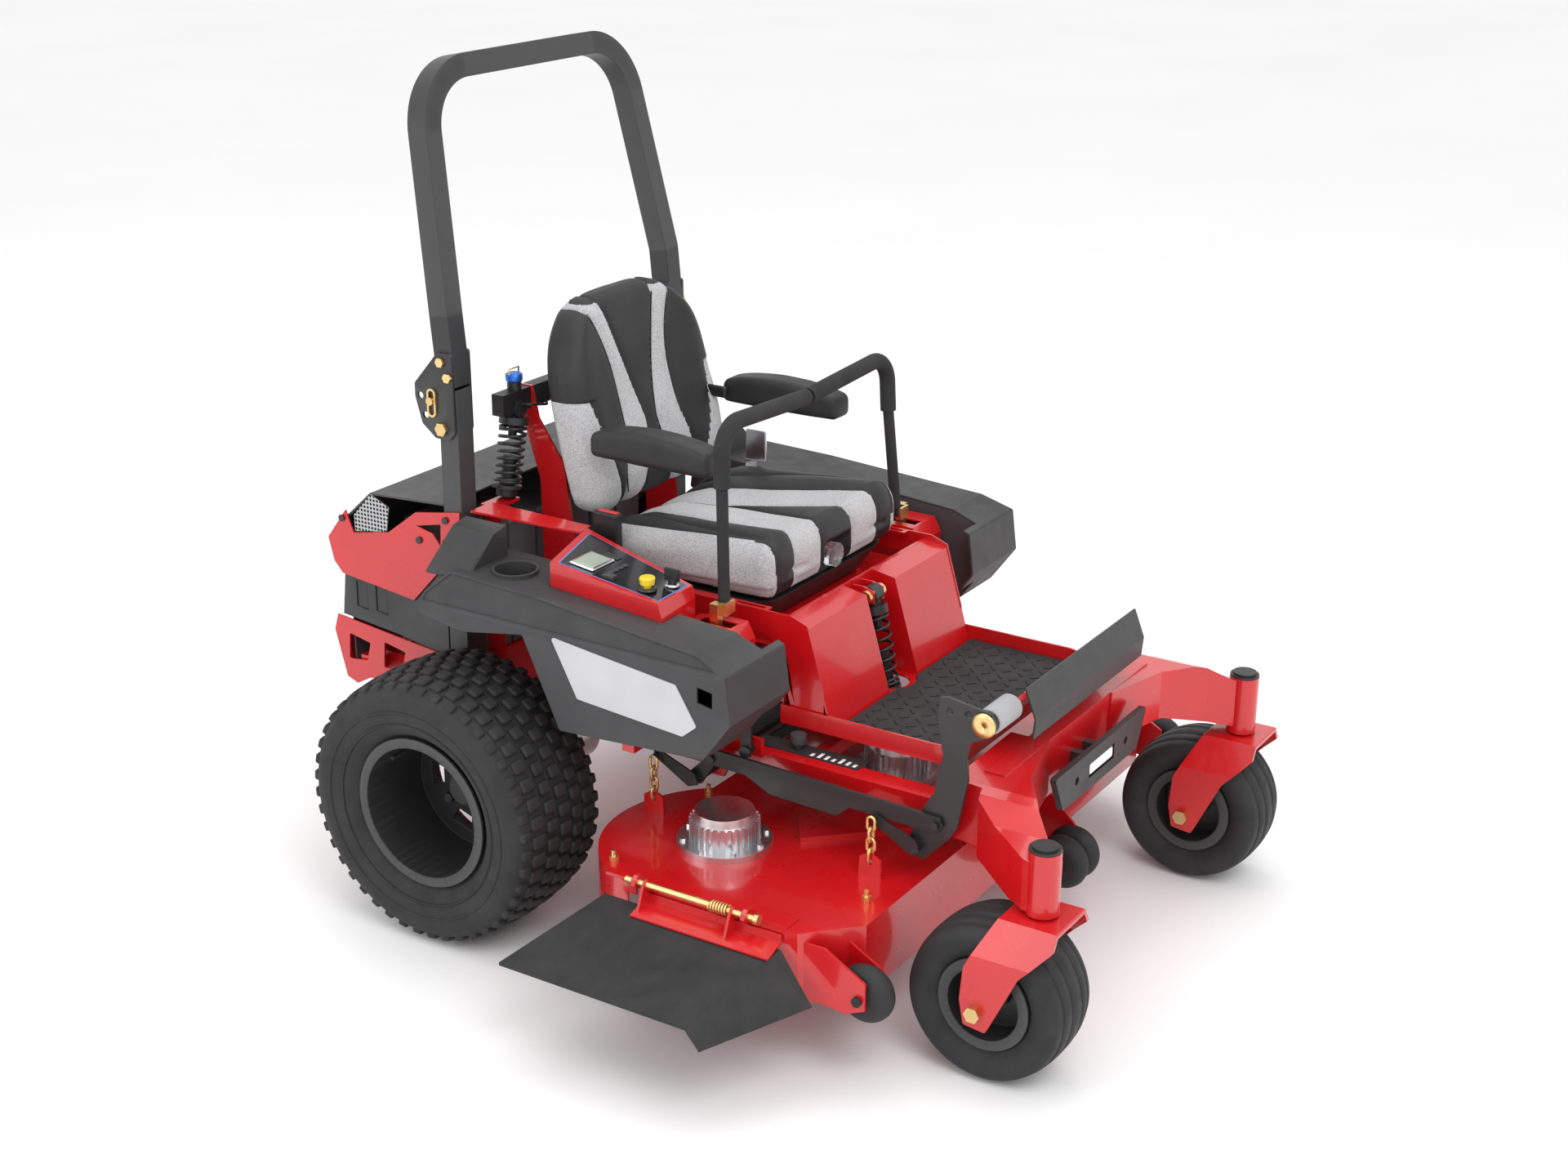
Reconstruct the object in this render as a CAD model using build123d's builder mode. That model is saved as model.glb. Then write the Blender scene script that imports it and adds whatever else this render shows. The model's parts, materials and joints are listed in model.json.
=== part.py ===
from build123d import *
import os

# Electric zero turn mower, millimetres. Modelled about the rear axle: X = 0 is the centre
# plane (the operator's right is -X), the operator looks along -Y, Z = 0 is the ground.
# At export everything is shifted so that the origin is under the middle of the machine.

os.makedirs("parts", exist_ok=True)

# ---- driving dimensions -------------------------------------------------------------
REAR_R = 305.0            # 24 x 12 - 12 drive tyre
REAR_HALF_TRACK = 615.0
REAR_HALF_WIDTH = 142.0
REAR_BEAD_R = 156.0
CASTER_R = 170.0          # 13 x 6.5 - 6 caster tyre
CASTER_X = 504.0
CASTER_HALF_WIDTH = 83.0
CASTER_BEAD_R = 84.0
CASTER_AXLE_Y = -1270.0
STEM_Y = -1354.0          # swivel axis, ahead of the wheel: the trail is 84 mm
RAIL_X = 365.0            # centre of each frame rail
RAIL_W, RAIL_LOW, RAIL_TOP = 50.0, 418.0, 478.0
POST_X, POST_Y, POST_W = 402.0, 132.0, 50.0
POST_TOP = 1148.0
HOOP_FOOT, HOOP_TOP, HOOP_PIVOT_Y, HOOP_PIVOT_Z = 1152.0, 1797.0, 143.0, 1060.0
GUARD_X = 432.0           # outer face of the rear guard panels
FENDER_X = 620.0          # outer face of the side pods
DECK_TOP, DECK_LOW = 310.0, 155.0
DECK_HALF_WIDTH = 745.0
SPINDLE_X, SPINDLE_Y, CENTRE_SPINDLE_Y = 500.0, -625.0, -752.0
BLADE_R = 232.0
PAN_TOP, PAN_HALF_WIDTH = 520.0, 310.0
CHAIN_X = 465.0
LIFT_PIVOT = (-1039.0, 393.0)      # (y, z) of the pedal's cross shaft
REAR_LIFT_PIVOT = (-508.0, 403.0)
LIFT_ARM, LIFT_ANGLE = 95.0, 25.0
LINK_PIN = (-1087.0, 452.0)        # (y, z) of the link's pin on the pedal
CLEAR = 0.05                       # radial running clearance of every shaft

nodes = {}


def keep(name, part):
    """Registers a finished piece under its node name."""
    part.label = name
    nodes[name] = part


def along_x(x, y, z):
    """A plane whose local axes are X and Z, for profiles turned about an axle along X."""
    return Plane(origin=(x, y, z), x_dir=(1, 0, 0), z_dir=(0, -1, 0))


def side_plate(points, x_low, x_high, holes=(), corner=0.0):
    """A flat plate in the YZ plane between two X values, with round holes (y, z, r)."""
    with BuildPart() as plate:
        with BuildSketch(Plane.YZ.offset(x_low)) as outline:
            with BuildLine():
                Polyline(*points, close=True)
            make_face()
            if corner:
                fillet(outline.vertices(), corner)
            for y, z, r in holes:
                with Locations((y, z)):
                    Circle(r, mode=Mode.SUBTRACT)
        extrude(amount=x_high - x_low)
    return plate.part


def front_plate(points, y_front, y_back, corner=0.0):
    """A plate whose outline is in the XZ plane, between two Y values (front is lower)."""
    with BuildPart() as plate:
        with BuildSketch(Plane.XZ.offset(-y_back)) as outline:
            with BuildLine():
                Polyline(*points, close=True)
            make_face()
            if corner:
                fillet(outline.vertices(), corner)
        extrude(amount=y_back - y_front)
    return plate.part


def flat_plate(points, z_low, z_high, corner=0.0):
    """A plate whose outline is in the XY plane."""
    with BuildPart() as plate:
        with BuildSketch(Plane.XY.offset(z_low)) as outline:
            with BuildLine():
                Polyline(*points, close=True)
            make_face()
            if corner:
                fillet(outline.vertices(), corner)
        extrude(amount=z_high - z_low)
    return plate.part


def block(x0, x1, y0, y1, z0, z1, edge=0.0):
    """A box between two corners, with rounded edges if asked."""
    with BuildPart() as box:
        with Locations(((x0 + x1) / 2, (y0 + y1) / 2, (z0 + z1) / 2)):
            Box(abs(x1 - x0), abs(y1 - y0), abs(z1 - z0))
        if edge:
            fillet(box.edges(), edge)
    return box.part


def rod_x(x0, x1, y, z, r, bore=0.0):
    """A round bar along X, bored through if asked."""
    with BuildPart() as rod:
        with BuildSketch(Plane.YZ.offset(min(x0, x1))):
            with Locations((y, z)):
                Circle(r)
                if bore:
                    Circle(bore, mode=Mode.SUBTRACT)
        extrude(amount=abs(x1 - x0))
    return rod.part


def rod_y(y0, y1, x, z, r, bore=0.0):
    """A round bar along Y, bored through if asked."""
    with BuildPart() as rod:
        with BuildSketch(Plane.XZ.offset(-max(y0, y1))):
            with Locations((x, z)):
                Circle(r)
                if bore:
                    Circle(bore, mode=Mode.SUBTRACT)
        extrude(amount=abs(y1 - y0))
    return rod.part


def rod_z(z0, z1, x, y, r, bore=0.0):
    """A round bar along Z, bored through if asked."""
    with BuildPart() as rod:
        with BuildSketch(Plane.XY.offset(min(z0, z1))):
            with Locations((x, y)):
                Circle(r)
                if bore:
                    Circle(bore, mode=Mode.SUBTRACT)
        extrude(amount=abs(z1 - z0))
    return rod.part


def hex_x(x0, x1, y, z, across):
    """A hexagon head or nut along X."""
    with BuildPart() as head:
        with BuildSketch(Plane.YZ.offset(min(x0, x1))):
            with Locations((y, z)):
                RegularPolygon(across / 2, 6, major_radius=False)
        extrude(amount=abs(x1 - x0))
    return head.part


def hex_z(z0, z1, x, y, across):
    """A hexagon head or nut along Z."""
    with BuildPart() as head:
        with BuildSketch(Plane.XY.offset(min(z0, z1))):
            with Locations((x, y)):
                RegularPolygon(across / 2, 6, major_radius=False)
        extrude(amount=abs(z1 - z0))
    return head.part


def fused(*pieces):
    """One body welded from several pieces."""
    with BuildPart() as whole:
        for piece in pieces:
            add(piece)
    return whole.part


def cut(piece, *tools):
    """The piece with the tools taken out of it."""
    with BuildPart() as whole:
        add(piece)
        for tool in tools:
            add(tool, mode=Mode.SUBTRACT)
    return whole.part


def common(first, second):
    """The volume that two pieces share."""
    with BuildPart() as whole:
        add(first)
        add(second, mode=Mode.INTERSECT)
    return whole.part


def group(*pieces):
    """Separate solids held in one node."""
    return Compound([solid for piece in pieces for solid in piece.solids()])


def other_side(piece):
    """The same piece on the machine's other side."""
    return mirror(piece, about=Plane.YZ)


def bent_tube(points, bend, radius):
    """A round bar along straight runs joined by bends."""
    with BuildPart() as bar:
        with BuildLine() as path:
            FilletPolyline(*points, radius=bend)
        with BuildSketch(Plane(origin=points[0], z_dir=path.line % 0)):
            Circle(radius)
        sweep()
    return bar.part


# ---- wheels -------------------------------------------------------------------------
def tyre(x, y, z, outer, bead, half_width, tread, wall):
    """A tyre as a hollow section, open towards the rim, turned about its axle."""
    shoulder = outer - 0.30 * (outer - bead)
    seat = half_width * 0.74
    edge = bead + 16
    with BuildPart() as ring:
        with BuildSketch(along_x(x, y, z)):
            with BuildLine():
                left = Spline((-seat, edge), (-half_width, (edge + shoulder) / 2 + 6), (-seat, outer - 9))
                ThreePointArc((-seat, outer - 9), (0, outer), (seat, outer - 9))
                right = Spline((seat, outer - 9), (half_width, (edge + shoulder) / 2 + 6), (seat, edge))
                Polyline(right @ 1, (seat, bead), (-seat, bead), left @ 0)
            make_face()
            inner = half_width - wall
            with BuildLine():
                Polyline((seat - wall, bead - 1), (seat - wall, edge), (inner - 3, (edge + shoulder) / 2 + 6),
                         (seat - wall / 2, outer - 9 - tread), (-seat + wall / 2, outer - 9 - tread),
                         (-inner + 3, (edge + shoulder) / 2 + 6), (-seat + wall, edge),
                         (-seat + wall, bead - 1), close=True)
            make_face(mode=Mode.SUBTRACT)
        revolve(axis=Axis((x, y, z), (1, 0, 0)))
    return ring.part


def rim(x, y, z, side, barrel, half_width, disc_at, disc, hub_r, bore):
    """A dished rim: barrel with lips, and a disc set inwards; side is +1 on the left wheel."""
    lip = barrel + 14.0
    skin = 8.0
    with BuildPart() as wheel:
        with BuildSketch(along_x(x, y, z)):
            with BuildLine():
                Polyline((-half_width, barrel - skin), (half_width, barrel - skin), (half_width, lip),
                         (half_width - 7, lip), (half_width - 7, barrel), (-half_width + 7, barrel),
                         (-half_width + 7, lip), (-half_width, lip), close=True)
            make_face()
            start = side * disc_at
            with BuildLine():
                Polyline((start, hub_r - 1), (start + side * disc, hub_r - 1), (start + side * disc, barrel - 2),
                         (start, barrel - 2), close=True)
            make_face()
            with BuildLine():
                Polyline((start - side * 14, bore), (start + side * 26, bore), (start + side * 26, hub_r),
                         (start - side * 14, hub_r), close=True)
            make_face()
        revolve(axis=Axis((x, y, z), (1, 0, 0)))
    return wheel.part


def rear_rim(side):
    x = side * REAR_HALF_TRACK
    wheel = rim(x, 0, REAR_R, side, REAR_BEAD_R, 118.0, -66.0, 8.0, 52.0, 16.0 + CLEAR)
    with BuildPart() as finished:
        add(wheel)
        with BuildSketch(Plane.YZ.offset(x - 100)):
            with Locations((0, REAR_R)):
                with PolarLocations(98, 5):
                    Trapezoid(56, 34, 75, rotation=90)
        extrude(amount=200, mode=Mode.SUBTRACT)
        face = x - side * 58
        for spot in PolarLocations(76, 5, start_angle=36):
            y, z = spot.position.X, REAR_R + spot.position.Y
            add(hex_x(face, face + side * 15, y, z, 21))
        add(rod_x(face + side * 18, face + side * 40, 0, REAR_R, 34))
        add(rod_x(x + side * 20, x + side * 58, 125, REAR_R + 75, 5))
    return finished.part


for side, word in ((-1, "right"), (1, "left")):
    keep(f"rear_tyre_{word}", tyre(side * REAR_HALF_TRACK, 0, REAR_R, REAR_R, REAR_BEAD_R, REAR_HALF_WIDTH, 12, 9))
    keep(f"rear_rim_{word}", rear_rim(side))


# ---- casters ------------------------------------------------------------------------
def caster_fork(side):
    """Bent strap with two legs that slant back to the axle, and the kingpin welded on top."""
    x = side * CASTER_X
    profile = [(-104, 130), (-104, 292), (-62, 362), (62, 362), (104, 292), (104, 130),
               (96, 130), (96, 289), (58, 353), (-58, 353), (-96, 289), (-96, 130)]
    strap = front_plate([(x + u, z) for u, z in profile], STEM_Y - 100, STEM_Y + 200)
    top, low = 362, 169
    side_view = side_plate([(STEM_Y - 62, top + 1), (STEM_Y + 62, top + 1), (STEM_Y + 112, 262),
                            (CASTER_AXLE_Y + 34, 190), (CASTER_AXLE_Y + 24, 138), (CASTER_AXLE_Y - 24, 132),
                            (STEM_Y + 44, 165), (STEM_Y - 4, 268), (STEM_Y - 62, 330)],
                           x - 110, x + 110, corner=6)
    legs = common(strap, side_view)
    kingpin = rod_z(top - 4, 486, x, STEM_Y, 16)
    bored = cut(legs, rod_x(x - 120, x + 120, CASTER_AXLE_Y, low + 1, 10 + CLEAR))
    return fused(bored, kingpin)


for side, word in ((-1, "right"), (1, "left")):
    x = side * CASTER_X
    axle = fused(rod_x(x - 112, x + 112, CASTER_AXLE_Y, CASTER_R, 10),
                 hex_x(x - 118, x - 104.2, CASTER_AXLE_Y, CASTER_R, 30),
                 hex_x(x + 104.2, x + 118, CASTER_AXLE_Y, CASTER_R, 30))
    keep(f"caster_fork_{word}", group(caster_fork(side), axle))
    keep(f"caster_tyre_{word}", tyre(x, CASTER_AXLE_Y, CASTER_R, CASTER_R, CASTER_BEAD_R, CASTER_HALF_WIDTH, 9, 7))
    keep(f"caster_rim_{word}", fused(
        rim(x, CASTER_AXLE_Y, CASTER_R, side, CASTER_BEAD_R, 70.0, -4.0, 8.0, 30.0, 10 + CLEAR),
        rod_x(x - 90, x + 90, CASTER_AXLE_Y, CASTER_R, 22, 10 + CLEAR)))

# ---- main frame ---------------------------------------------------------------------
FRAME_REAR, FRAME_FRONT = 432.0, -1150.0


def rail(side):
    inner, outer = side * (RAIL_X - RAIL_W / 2), side * (RAIL_X + RAIL_W / 2)
    tube = block(inner, outer, FRAME_FRONT, FRAME_REAR, RAIL_LOW, RAIL_TOP)
    bore = block(side * (RAIL_X - RAIL_W / 2 + 4), side * (RAIL_X + RAIL_W / 2 - 4), FRAME_FRONT + 20,
                 FRAME_REAR - 20, RAIL_LOW + 4, RAIL_TOP - 4)
    plate = side_plate([(-95, RAIL_TOP), (95, RAIL_TOP), (95, 250), (40, 205), (-40, 205), (-95, 250)],
                       min(side * 382, side * 390), max(side * 382, side * 390), holes=((0, REAR_R, 82.5),))
    return fused(cut(tube, bore), plate)


def caster_arm(side):
    """Tapered box arm that runs out and forward to the swivel tube."""
    plan = [(150, -1100), (398, -1100), (404, -1166), (430, -1172), (526, -1318), (534, -1350), (474, -1350),
            (424, -1300), (322, -1230), (150, -1190)]
    rough = flat_plate([(side * x, y) for x, y in plan], 330, 560, corner=3)
    front_view = [(150, 430), (150, 545), (396, 540), (420, 532), (466, 497), (540, 474), (540, 372), (500, 372),
                  (430, 400), (330, 430)]
    wedge = front_plate([(side * x, z) for x, z in front_view], -1360, -1050)
    arm = common(rough, wedge)
    tube = rod_z(366, 498, side * CASTER_X, STEM_Y, 33)
    bore = rod_z(360, 492, side * CASTER_X, STEM_Y, 16 + CLEAR)
    return cut(fused(arm, tube), bore)


def lift_bearing(side):
    """Plate that hangs from the rail and holds a lift shaft."""
    low, high = sorted((side * 352, side * 360))
    front = side_plate([(-1085, 425), (-1000, 425), (-1015, 372), (-1062, 372)], low, high,
                       holes=((*LIFT_PIVOT, 12 + CLEAR),))
    rear = side_plate([(-548, 425), (-468, 425), (-485, 380), (-530, 380)], low, high,
                      holes=((*REAR_LIFT_PIVOT, 12 + CLEAR),))
    return [front, rear]


frame_parts = [rail(-1), rail(1), caster_arm(-1), caster_arm(1)]
frame_parts += lift_bearing(-1) + lift_bearing(1)
frame_parts += [
    block(-345, 345, FRAME_REAR - 50, FRAME_REAR, RAIL_LOW, RAIL_TOP),
    block(-345, 345, -330, -290, RAIL_LOW, RAIL_TOP),
    block(-345, 345, 120, 160, RAIL_LOW, RAIL_TOP),
    block(-345, 345, -1185, -1140, 418, 545),
    # battery tray between the rails
    block(-345, 345, -300, FRAME_REAR - 40, 478, 482),
    # seat of the front suspension unit
    block(-345, 345, -745, -718, 440, 470),
    block(-30, 30, -762, -700, 466, 474),
]
for side in (-1, 1):
    frame_parts += [
        # outrigger that carries the pod, the post and the guard
        block(side * 385, side * 427, 90, 160, 440, RAIL_TOP),
        block(side * 385, side * 425, 380, 430, 440, 470),
        block(side * 385, side * 600, -470, -440, 512, 531),
        block(side * 385, side * 398, -470, -440, 470, 531),
        block(side * 388, side * 424, -560, -520, 470, 540),
        block(side * 388, side * 399.8, -650, -550, 470, 510),
        # seat of each rear suspension unit
        block(side * 262, side * 345, 78, 122, 862, 870),
        block(side * 330, side * 340, 78, 122, 478, 866),
        block(side * 330, side * 377, 110, 122, 850, 862),
    ]
# drawbar plate with a pin hole, behind the rear cross member
HITCH_Y, HITCH_R = 490.0, 9.5
drawbar = cut(block(-60, 60, 400, 512, 398, 408), rod_z(390, 420, 0, HITCH_Y, HITCH_R))
frame_parts += [drawbar, block(-60, 60, 400, FRAME_REAR, 398, 420)]
keep("main_frame", fused(*frame_parts))

# Black bumper panel with two round holes and a lamp recess
bumper = front_plate([(-225, 500), (225, 500), (182, 415), (-182, 415)], -1240, -1226, corner=6)
bumper_backs = [block(s * 20, s * 40, -1226, -1185, 430, 480) for s in (-1, 1)]
bumper_holes = [rod_y(-1260, -1220, s * 120, 457, 9) for s in (-1, 1)]
lamp_recess = block(-62, 62, -1245, -1232, 440, 474)
keep("bumper_panel", cut(fused(bumper, *bumper_backs), *bumper_holes, lamp_recess))

# ---- drive motors (inside the frame, one for each rear wheel) -------------------------
def drive_motor(side):
    return fused(rod_x(side * 380, side * 470, 0, REAR_R, 82),
                 rod_x(side * 190, side * 381, 0, REAR_R, 74),
                 rod_x(side * 470, side * 574, 0, REAR_R, 16),
                 rod_x(side * 178, side * 191, 0, REAR_R, 40))


keep("drive_motors", group(drive_motor(-1), drive_motor(1)))

# ---- battery packs and controllers, under the hood -----------------------------------
packs = [block(x - 48, x + 48, 160, 390, 482, 780, 6) for x in (-255, -153, -51, 51, 153, 255)]
controllers = [block(s * 60, s * 250, -270, -20, 482, 560, 5) for s in (-1, 1)]
keep("battery_packs", group(*packs, *controllers))

# ---- roll-over bar --------------------------------------------------------------------
def post(side):
    x = side * POST_X
    half = POST_W / 2
    tube = block(x - half, x + half, POST_Y - half, POST_Y + half, RAIL_TOP, POST_TOP)
    bore = block(x - half + 4, x + half - 4, POST_Y - half + 4, POST_Y + half - 4, RAIL_TOP + 4, POST_TOP + 1)
    hole = rod_x(x - 40, x + 40, HOOP_PIVOT_Y, HOOP_PIVOT_Z, 9 + CLEAR)
    return cut(tube, bore, hole)


keep("rops_posts", group(post(-1), post(1)))


def hoop_tube(width):
    """A square bar swept along the hoop: up, in and back, over the top and down again."""
    foot = HOOP_FOOT
    points = [(-POST_X, POST_Y, foot), (-POST_X, POST_Y + 15, 1305), (-348, 238, HOOP_TOP), (348, 238, HOOP_TOP),
              (POST_X, POST_Y + 15, 1305), (POST_X, POST_Y, foot)]
    with BuildPart() as bar:
        with BuildLine() as path:
            FilletPolyline(*points, radius=[90, 140, 140, 90])
        with BuildSketch(Plane(origin=points[0], x_dir=(1, 0, 0), z_dir=path.line % 0)):
            Rectangle(width, width)
        sweep(transition=Transition.RIGHT)
    return bar.part


LOCK_Y, LOCK_Z = 168.0, 1120.0


def hoop_plates(side):
    """Two cheek plates that carry the hoop's foot to its pivot, drilled for pins."""
    outline = [(POST_Y - 20, 1228), (POST_Y + 18, 1228), (217, 1152), (217, 1122), (200, 1064), (164, 1036),
               (126, 1036), (110, 1054)]
    holes = ((HOOP_PIVOT_Y, HOOP_PIVOT_Z, 9 + CLEAR), (LOCK_Y, LOCK_Z, 5 + CLEAR), (202, 1126, 8), (190, 1084, 8))
    out = side * (POST_X + POST_W / 2)
    inn = side * (POST_X - POST_W / 2)
    outer = side_plate(outline, *sorted((out + side * 0.4, out + side * 6.4)), holes=holes, corner=6)
    inner = side_plate(outline, *sorted((inn - side * 0.4, inn - side * 6.4)), holes=holes, corner=6)
    bolts = [rod_x(out + side * 7, inn - side * 7, POST_Y + y, z, 6) for y, z in ((-10, 1176), (8, 1208))]
    return [outer, inner, *bolts]


hollow_hoop = cut(hoop_tube(POST_W), hoop_tube(POST_W - 9))
keep("rops_hoop", fused(hollow_hoop, *hoop_plates(-1), *hoop_plates(1)))


def lock_pin(side):
    """Hitch pin through the cheek plates, with its pull ring."""
    out = side * (POST_X + POST_W / 2 + 7.5)
    inn = side * (POST_X - POST_W / 2 - 12)
    with BuildPart() as ring:
        with BuildSketch(Plane.YZ.offset(min(out, out + side * 5))):
            with Locations((LOCK_Y, LOCK_Z - 5)):
                SlotOverall(64, 24, rotation=90)
                SlotOverall(54, 14, rotation=90, mode=Mode.SUBTRACT)
        extrude(amount=5)
    pin = fused(rod_x(out, inn, LOCK_Y, LOCK_Z, 5), rod_x(out, out + side * 12, LOCK_Y, LOCK_Z, 9), ring.part)
    return [pin, hex_x(out, out + side * 7, POST_Y - 10, 1176, 19), hex_x(out, out + side * 7, POST_Y + 8, 1208, 19)]


keep("rops_lock_pins", group(*lock_pin(-1), *lock_pin(1)))

# ---- rear guard, hood and side covers --------------------------------------------------
def guard_panel(side):
    low, high = sorted((side * GUARD_X, side * (GUARD_X - 4)))
    upper = side_plate([(445, 820), (502, 746), (488, 691), (464, 665), (254, 642), (115, 791), (110, 875),
                        (236, 853), (320, 790), (424, 770)], low, high,
                       holes=((150, 850, 4), (150, 800, 4), (228, 790, 4), (455, 800, 4)))
    window = side_plate([(165, 838), (236, 822), (190, 812), (168, 786)], low - 1, high + 1)
    lower = side_plate([(488, 560), (500, 520), (470, 410), (440, 398), (400, 420), (120, 470), (120, 508),
                        (200, 530)], low, high)
    slots = [side_plate([(y, 520), (y - 62, 508), (y - 50, 462), (y + 5, 456)], low - 1, high + 1, corner=4)
             for y in (455, 350)]
    return [cut(upper, window), cut(lower, *slots)]


GUARD_IN = GUARD_X - 4
strap = side_plate([(486, 690), (502, 746), (498, 748), (482, 692)], -GUARD_IN, GUARD_IN)
low_bar = side_plate([(494, 518), (499, 519), (474, 412), (470, 413)], -GUARD_IN, GUARD_IN)
right_panels, left_panels = guard_panel(-1), guard_panel(1)
keep("rear_guard", group(fused(right_panels[0], left_panels[0], strap),
                         fused(right_panels[1], left_panels[1], low_bar)))


def hood():
    """Bent cover over the batteries: top, rear slope and rear face in one sheet."""
    sheet = [(161, 883), (376, 870), (440, 812), (474, 788), (480, 748), (466, 690), (450, 640), (450, 430),
             (446, 430), (446, 641), (462, 692), (476, 747), (470, 785), (437, 808), (375, 866), (161, 879)]
    cover = side_plate(sheet, -422.8, 422.8)
    slots = [block(-260, 260, 430, 470, z, z + 10) for z in range(470, 620, 28)]
    return cut(cover, *slots)


def side_cover(side):
    low, high = sorted((side * 423, side * 427))
    cover = side_plate([(462, 664), (254, 640), (161, 740), (161, 520), (300, 545), (474, 563)], low, high)
    vents = [side_plate([(y, 652), (y - 34, 648), (y - 34, 586), (y, 590)], low - 1, high + 1) for y in (430, 372)]
    return cut(cover, *vents)


keep("rear_hood", group(hood(), side_cover(-1), side_cover(1)))

# ---- side pods ------------------------------------------------------------------------
POD = [(74, 714), (68, 758), (15, 806), (-221, 798), (-630, 767), (-706, 738), (-719, 640), (-654, 551),
       (-295, 528), (-204, 722), (-40, 693)]
POD_IN = 400.0


def pod(side, cup):
    """Moulded side pod: an open-backed tray with a raised inner shoulder."""
    low, high = sorted((side * FENDER_X, side * POD_IN))
    shell = side_plate(POD, low, high, corner=7)
    hollow_low, hollow_high = sorted((side * (FENDER_X - 5), side * (POD_IN - 5)))
    with BuildPart() as hollow:
        with BuildSketch(Plane.YZ.offset(hollow_low)) as inside:
            with BuildLine():
                Polyline(*POD, close=True)
            make_face()
            offset(amount=-5, kind=Kind.INTERSECTION)
        extrude(amount=hollow_high - hollow_low)
    tray = cut(shell, hollow.part)
    # chamfer along the upper outer edge
    slope = front_plate([(side * 640, 700), (side * 640, 840), (side * 560, 840)], -800, 120)
    skin = front_plate([(side * 634, 706), (side * 561, 834), (side * 556, 831), (side * 629, 703)], -800, 120)
    skin = common(skin, side_plate(POD, low, high))
    tray = fused(cut(tray, slope), skin)
    # shoulder beside the post
    shoulder = front_plate([(side * 575, 790), (side * 480, 866), (side * 436, 874), (side * 436, 869),
                            (side * 478, 861), (side * 570, 785)], -20, 88)
    front_skin = front_plate([(side * 575, 788), (side * 480, 866), (side * 436, 874), (side * 436, 790)], -24, -19)
    tray = fused(tray, shoulder, front_skin)
    # the lever tower and the console stand in this notch
    notch = block(side * 380, side * 462, -690, -455, 520, 800)
    tray = cut(tray, notch)
    if cup:
        seat = flat_plate([(-523, -203), (-300, -140), (-300, -490), (-523, -490)], 700, 860)
        tray = cut(tray, seat, rod_z(760, 840, side * 500, -96, 45))
        tray = fused(tray, cut(rod_z(738, 810, side * 500, -96, 50), rod_z(743, 820, side * 500, -96, 45)))
    recess = side_plate([(-676, 700), (-640, 706), (-640, 672), (-676, 666)], *sorted((side * 612, side * 622)))
    return cut(tray, recess)


keep("fender_right", pod(-1, True))
keep("fender_left", pod(1, False))


def insert(side):
    """Pale side panel let into the pod."""
    low, high = sorted((side * (FENDER_X + 0.2), side * (FENDER_X + 3)))
    return side_plate([(-280, 735), (-345, 612), (-606, 592), (-640, 620), (-590, 700)], low, high, corner=5)


keep("fender_inserts", group(insert(-1), insert(1)))

# ---- operator's console and lever towers ------------------------------------------------


def console_box():
    plan = flat_plate([(-522, -206), (-322, -152), (-398, -486), (-522, -488)], 730, 880)
    side = side_plate([(-140, 806), (-140, 860.5), (-478, 816.8), (-500, 748), (-480, 740), (-200, 799)],
                      -540, -300)
    box = common(plan, side)
    plan_in = flat_plate([(-518, -212), (-332, -162), (-402, -480), (-518, -484)], 720, 880)
    side_in = side_plate([(-150, 700), (-150, 855), (-474, 812.8), (-496, 748), (-496, 700)], -540, -300)
    hollow = common(plan_in, side_in)
    return cut(box, hollow)


def tower(side):
    """Box that holds a control lever's pivot, slotted on top for the lever's travel."""
    body = side_plate([(-462, 541), (-462, 735), (-510, 745), (-584, 745), (-602, 712), (-602, 541)],
                      *sorted((side * 348, side * 455)))
    hollow = side_plate([(-466, 540), (-466, 731), (-510, 741), (-582, 741), (-598, 711), (-598, 540)],
                        *sorted((side * 352, side * 451)))
    slot = block(side * 372, side * 404, -577, -490, 700, 760)
    pin_hole = rod_x(side * 340, side * 460, -531, 650, 6)
    pin = rod_x(side * 349, side * 454, -531, 650, 6)
    return fused(cut(body, hollow, slot, pin_hole), pin)


strip = common(flat_plate([(-350, -158), (-306, -150), (-350, 88), (-420, 88)], 840, 900),
               side_plate([(-170, 852), (-170, 857), (95, 882), (95, 877)], -440, -290))
panel_holes = [rod_z(780, 880, x, y, r) for x, y, r in ((-432, -452, 9 + CLEAR), (-486, -428, 8 + CLEAR))]
rocker_hole = block(-503, -483, -352, -322, 780, 880)
keep("console", group(cut(console_box(), *panel_holes, rocker_hole), tower(-1), tower(1), strip))


with BuildPart() as key:
    with BuildSketch(Plane.XY.offset(796)):
        with Locations((-432, -452)):
            Circle(9)
    extrude(amount=40)
    with Locations((-432, -452, 846)):
        Box(7, 34, 26)
keep("ignition_key", key.part)

with BuildPart() as pto:
    with BuildSketch(Plane.XY.offset(796)):
        with Locations((-486, -428)):
            Circle(8)
    extrude(amount=44)
    with BuildSketch(Plane.XY.offset(838)):
        with Locations((-486, -428)):
            Circle(15)
    extrude(amount=16, taper=-8)
    fillet(pto.faces().sort_by(Axis.Z)[-1].edges(), 4)
keep("pto_knob", pto.part)

keep("rocker_switch", block(-502.5, -483.5, -351.5, -322.5, 812, 842, 2))

# ---- control levers --------------------------------------------------------------------
def lever_strut(side):
    """Square strut that rocks on the tower's pin and carries the lever's swing pin."""
    x = side * 388
    strut = cut(block(x - 10, x + 10, -541, -521, 634, 786), rod_x(x - 20, x + 20, -531, 650, 6 + CLEAR))
    tab = block(side * 379, side * 348, -552, -546, 758, 786)
    neck = block(side * 379, side * 384, -552, -530, 758, 786)
    pin = rod_y(-547, -518, side * 360, 772, 5)
    return fused(strut, tab, neck, pin)


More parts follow.
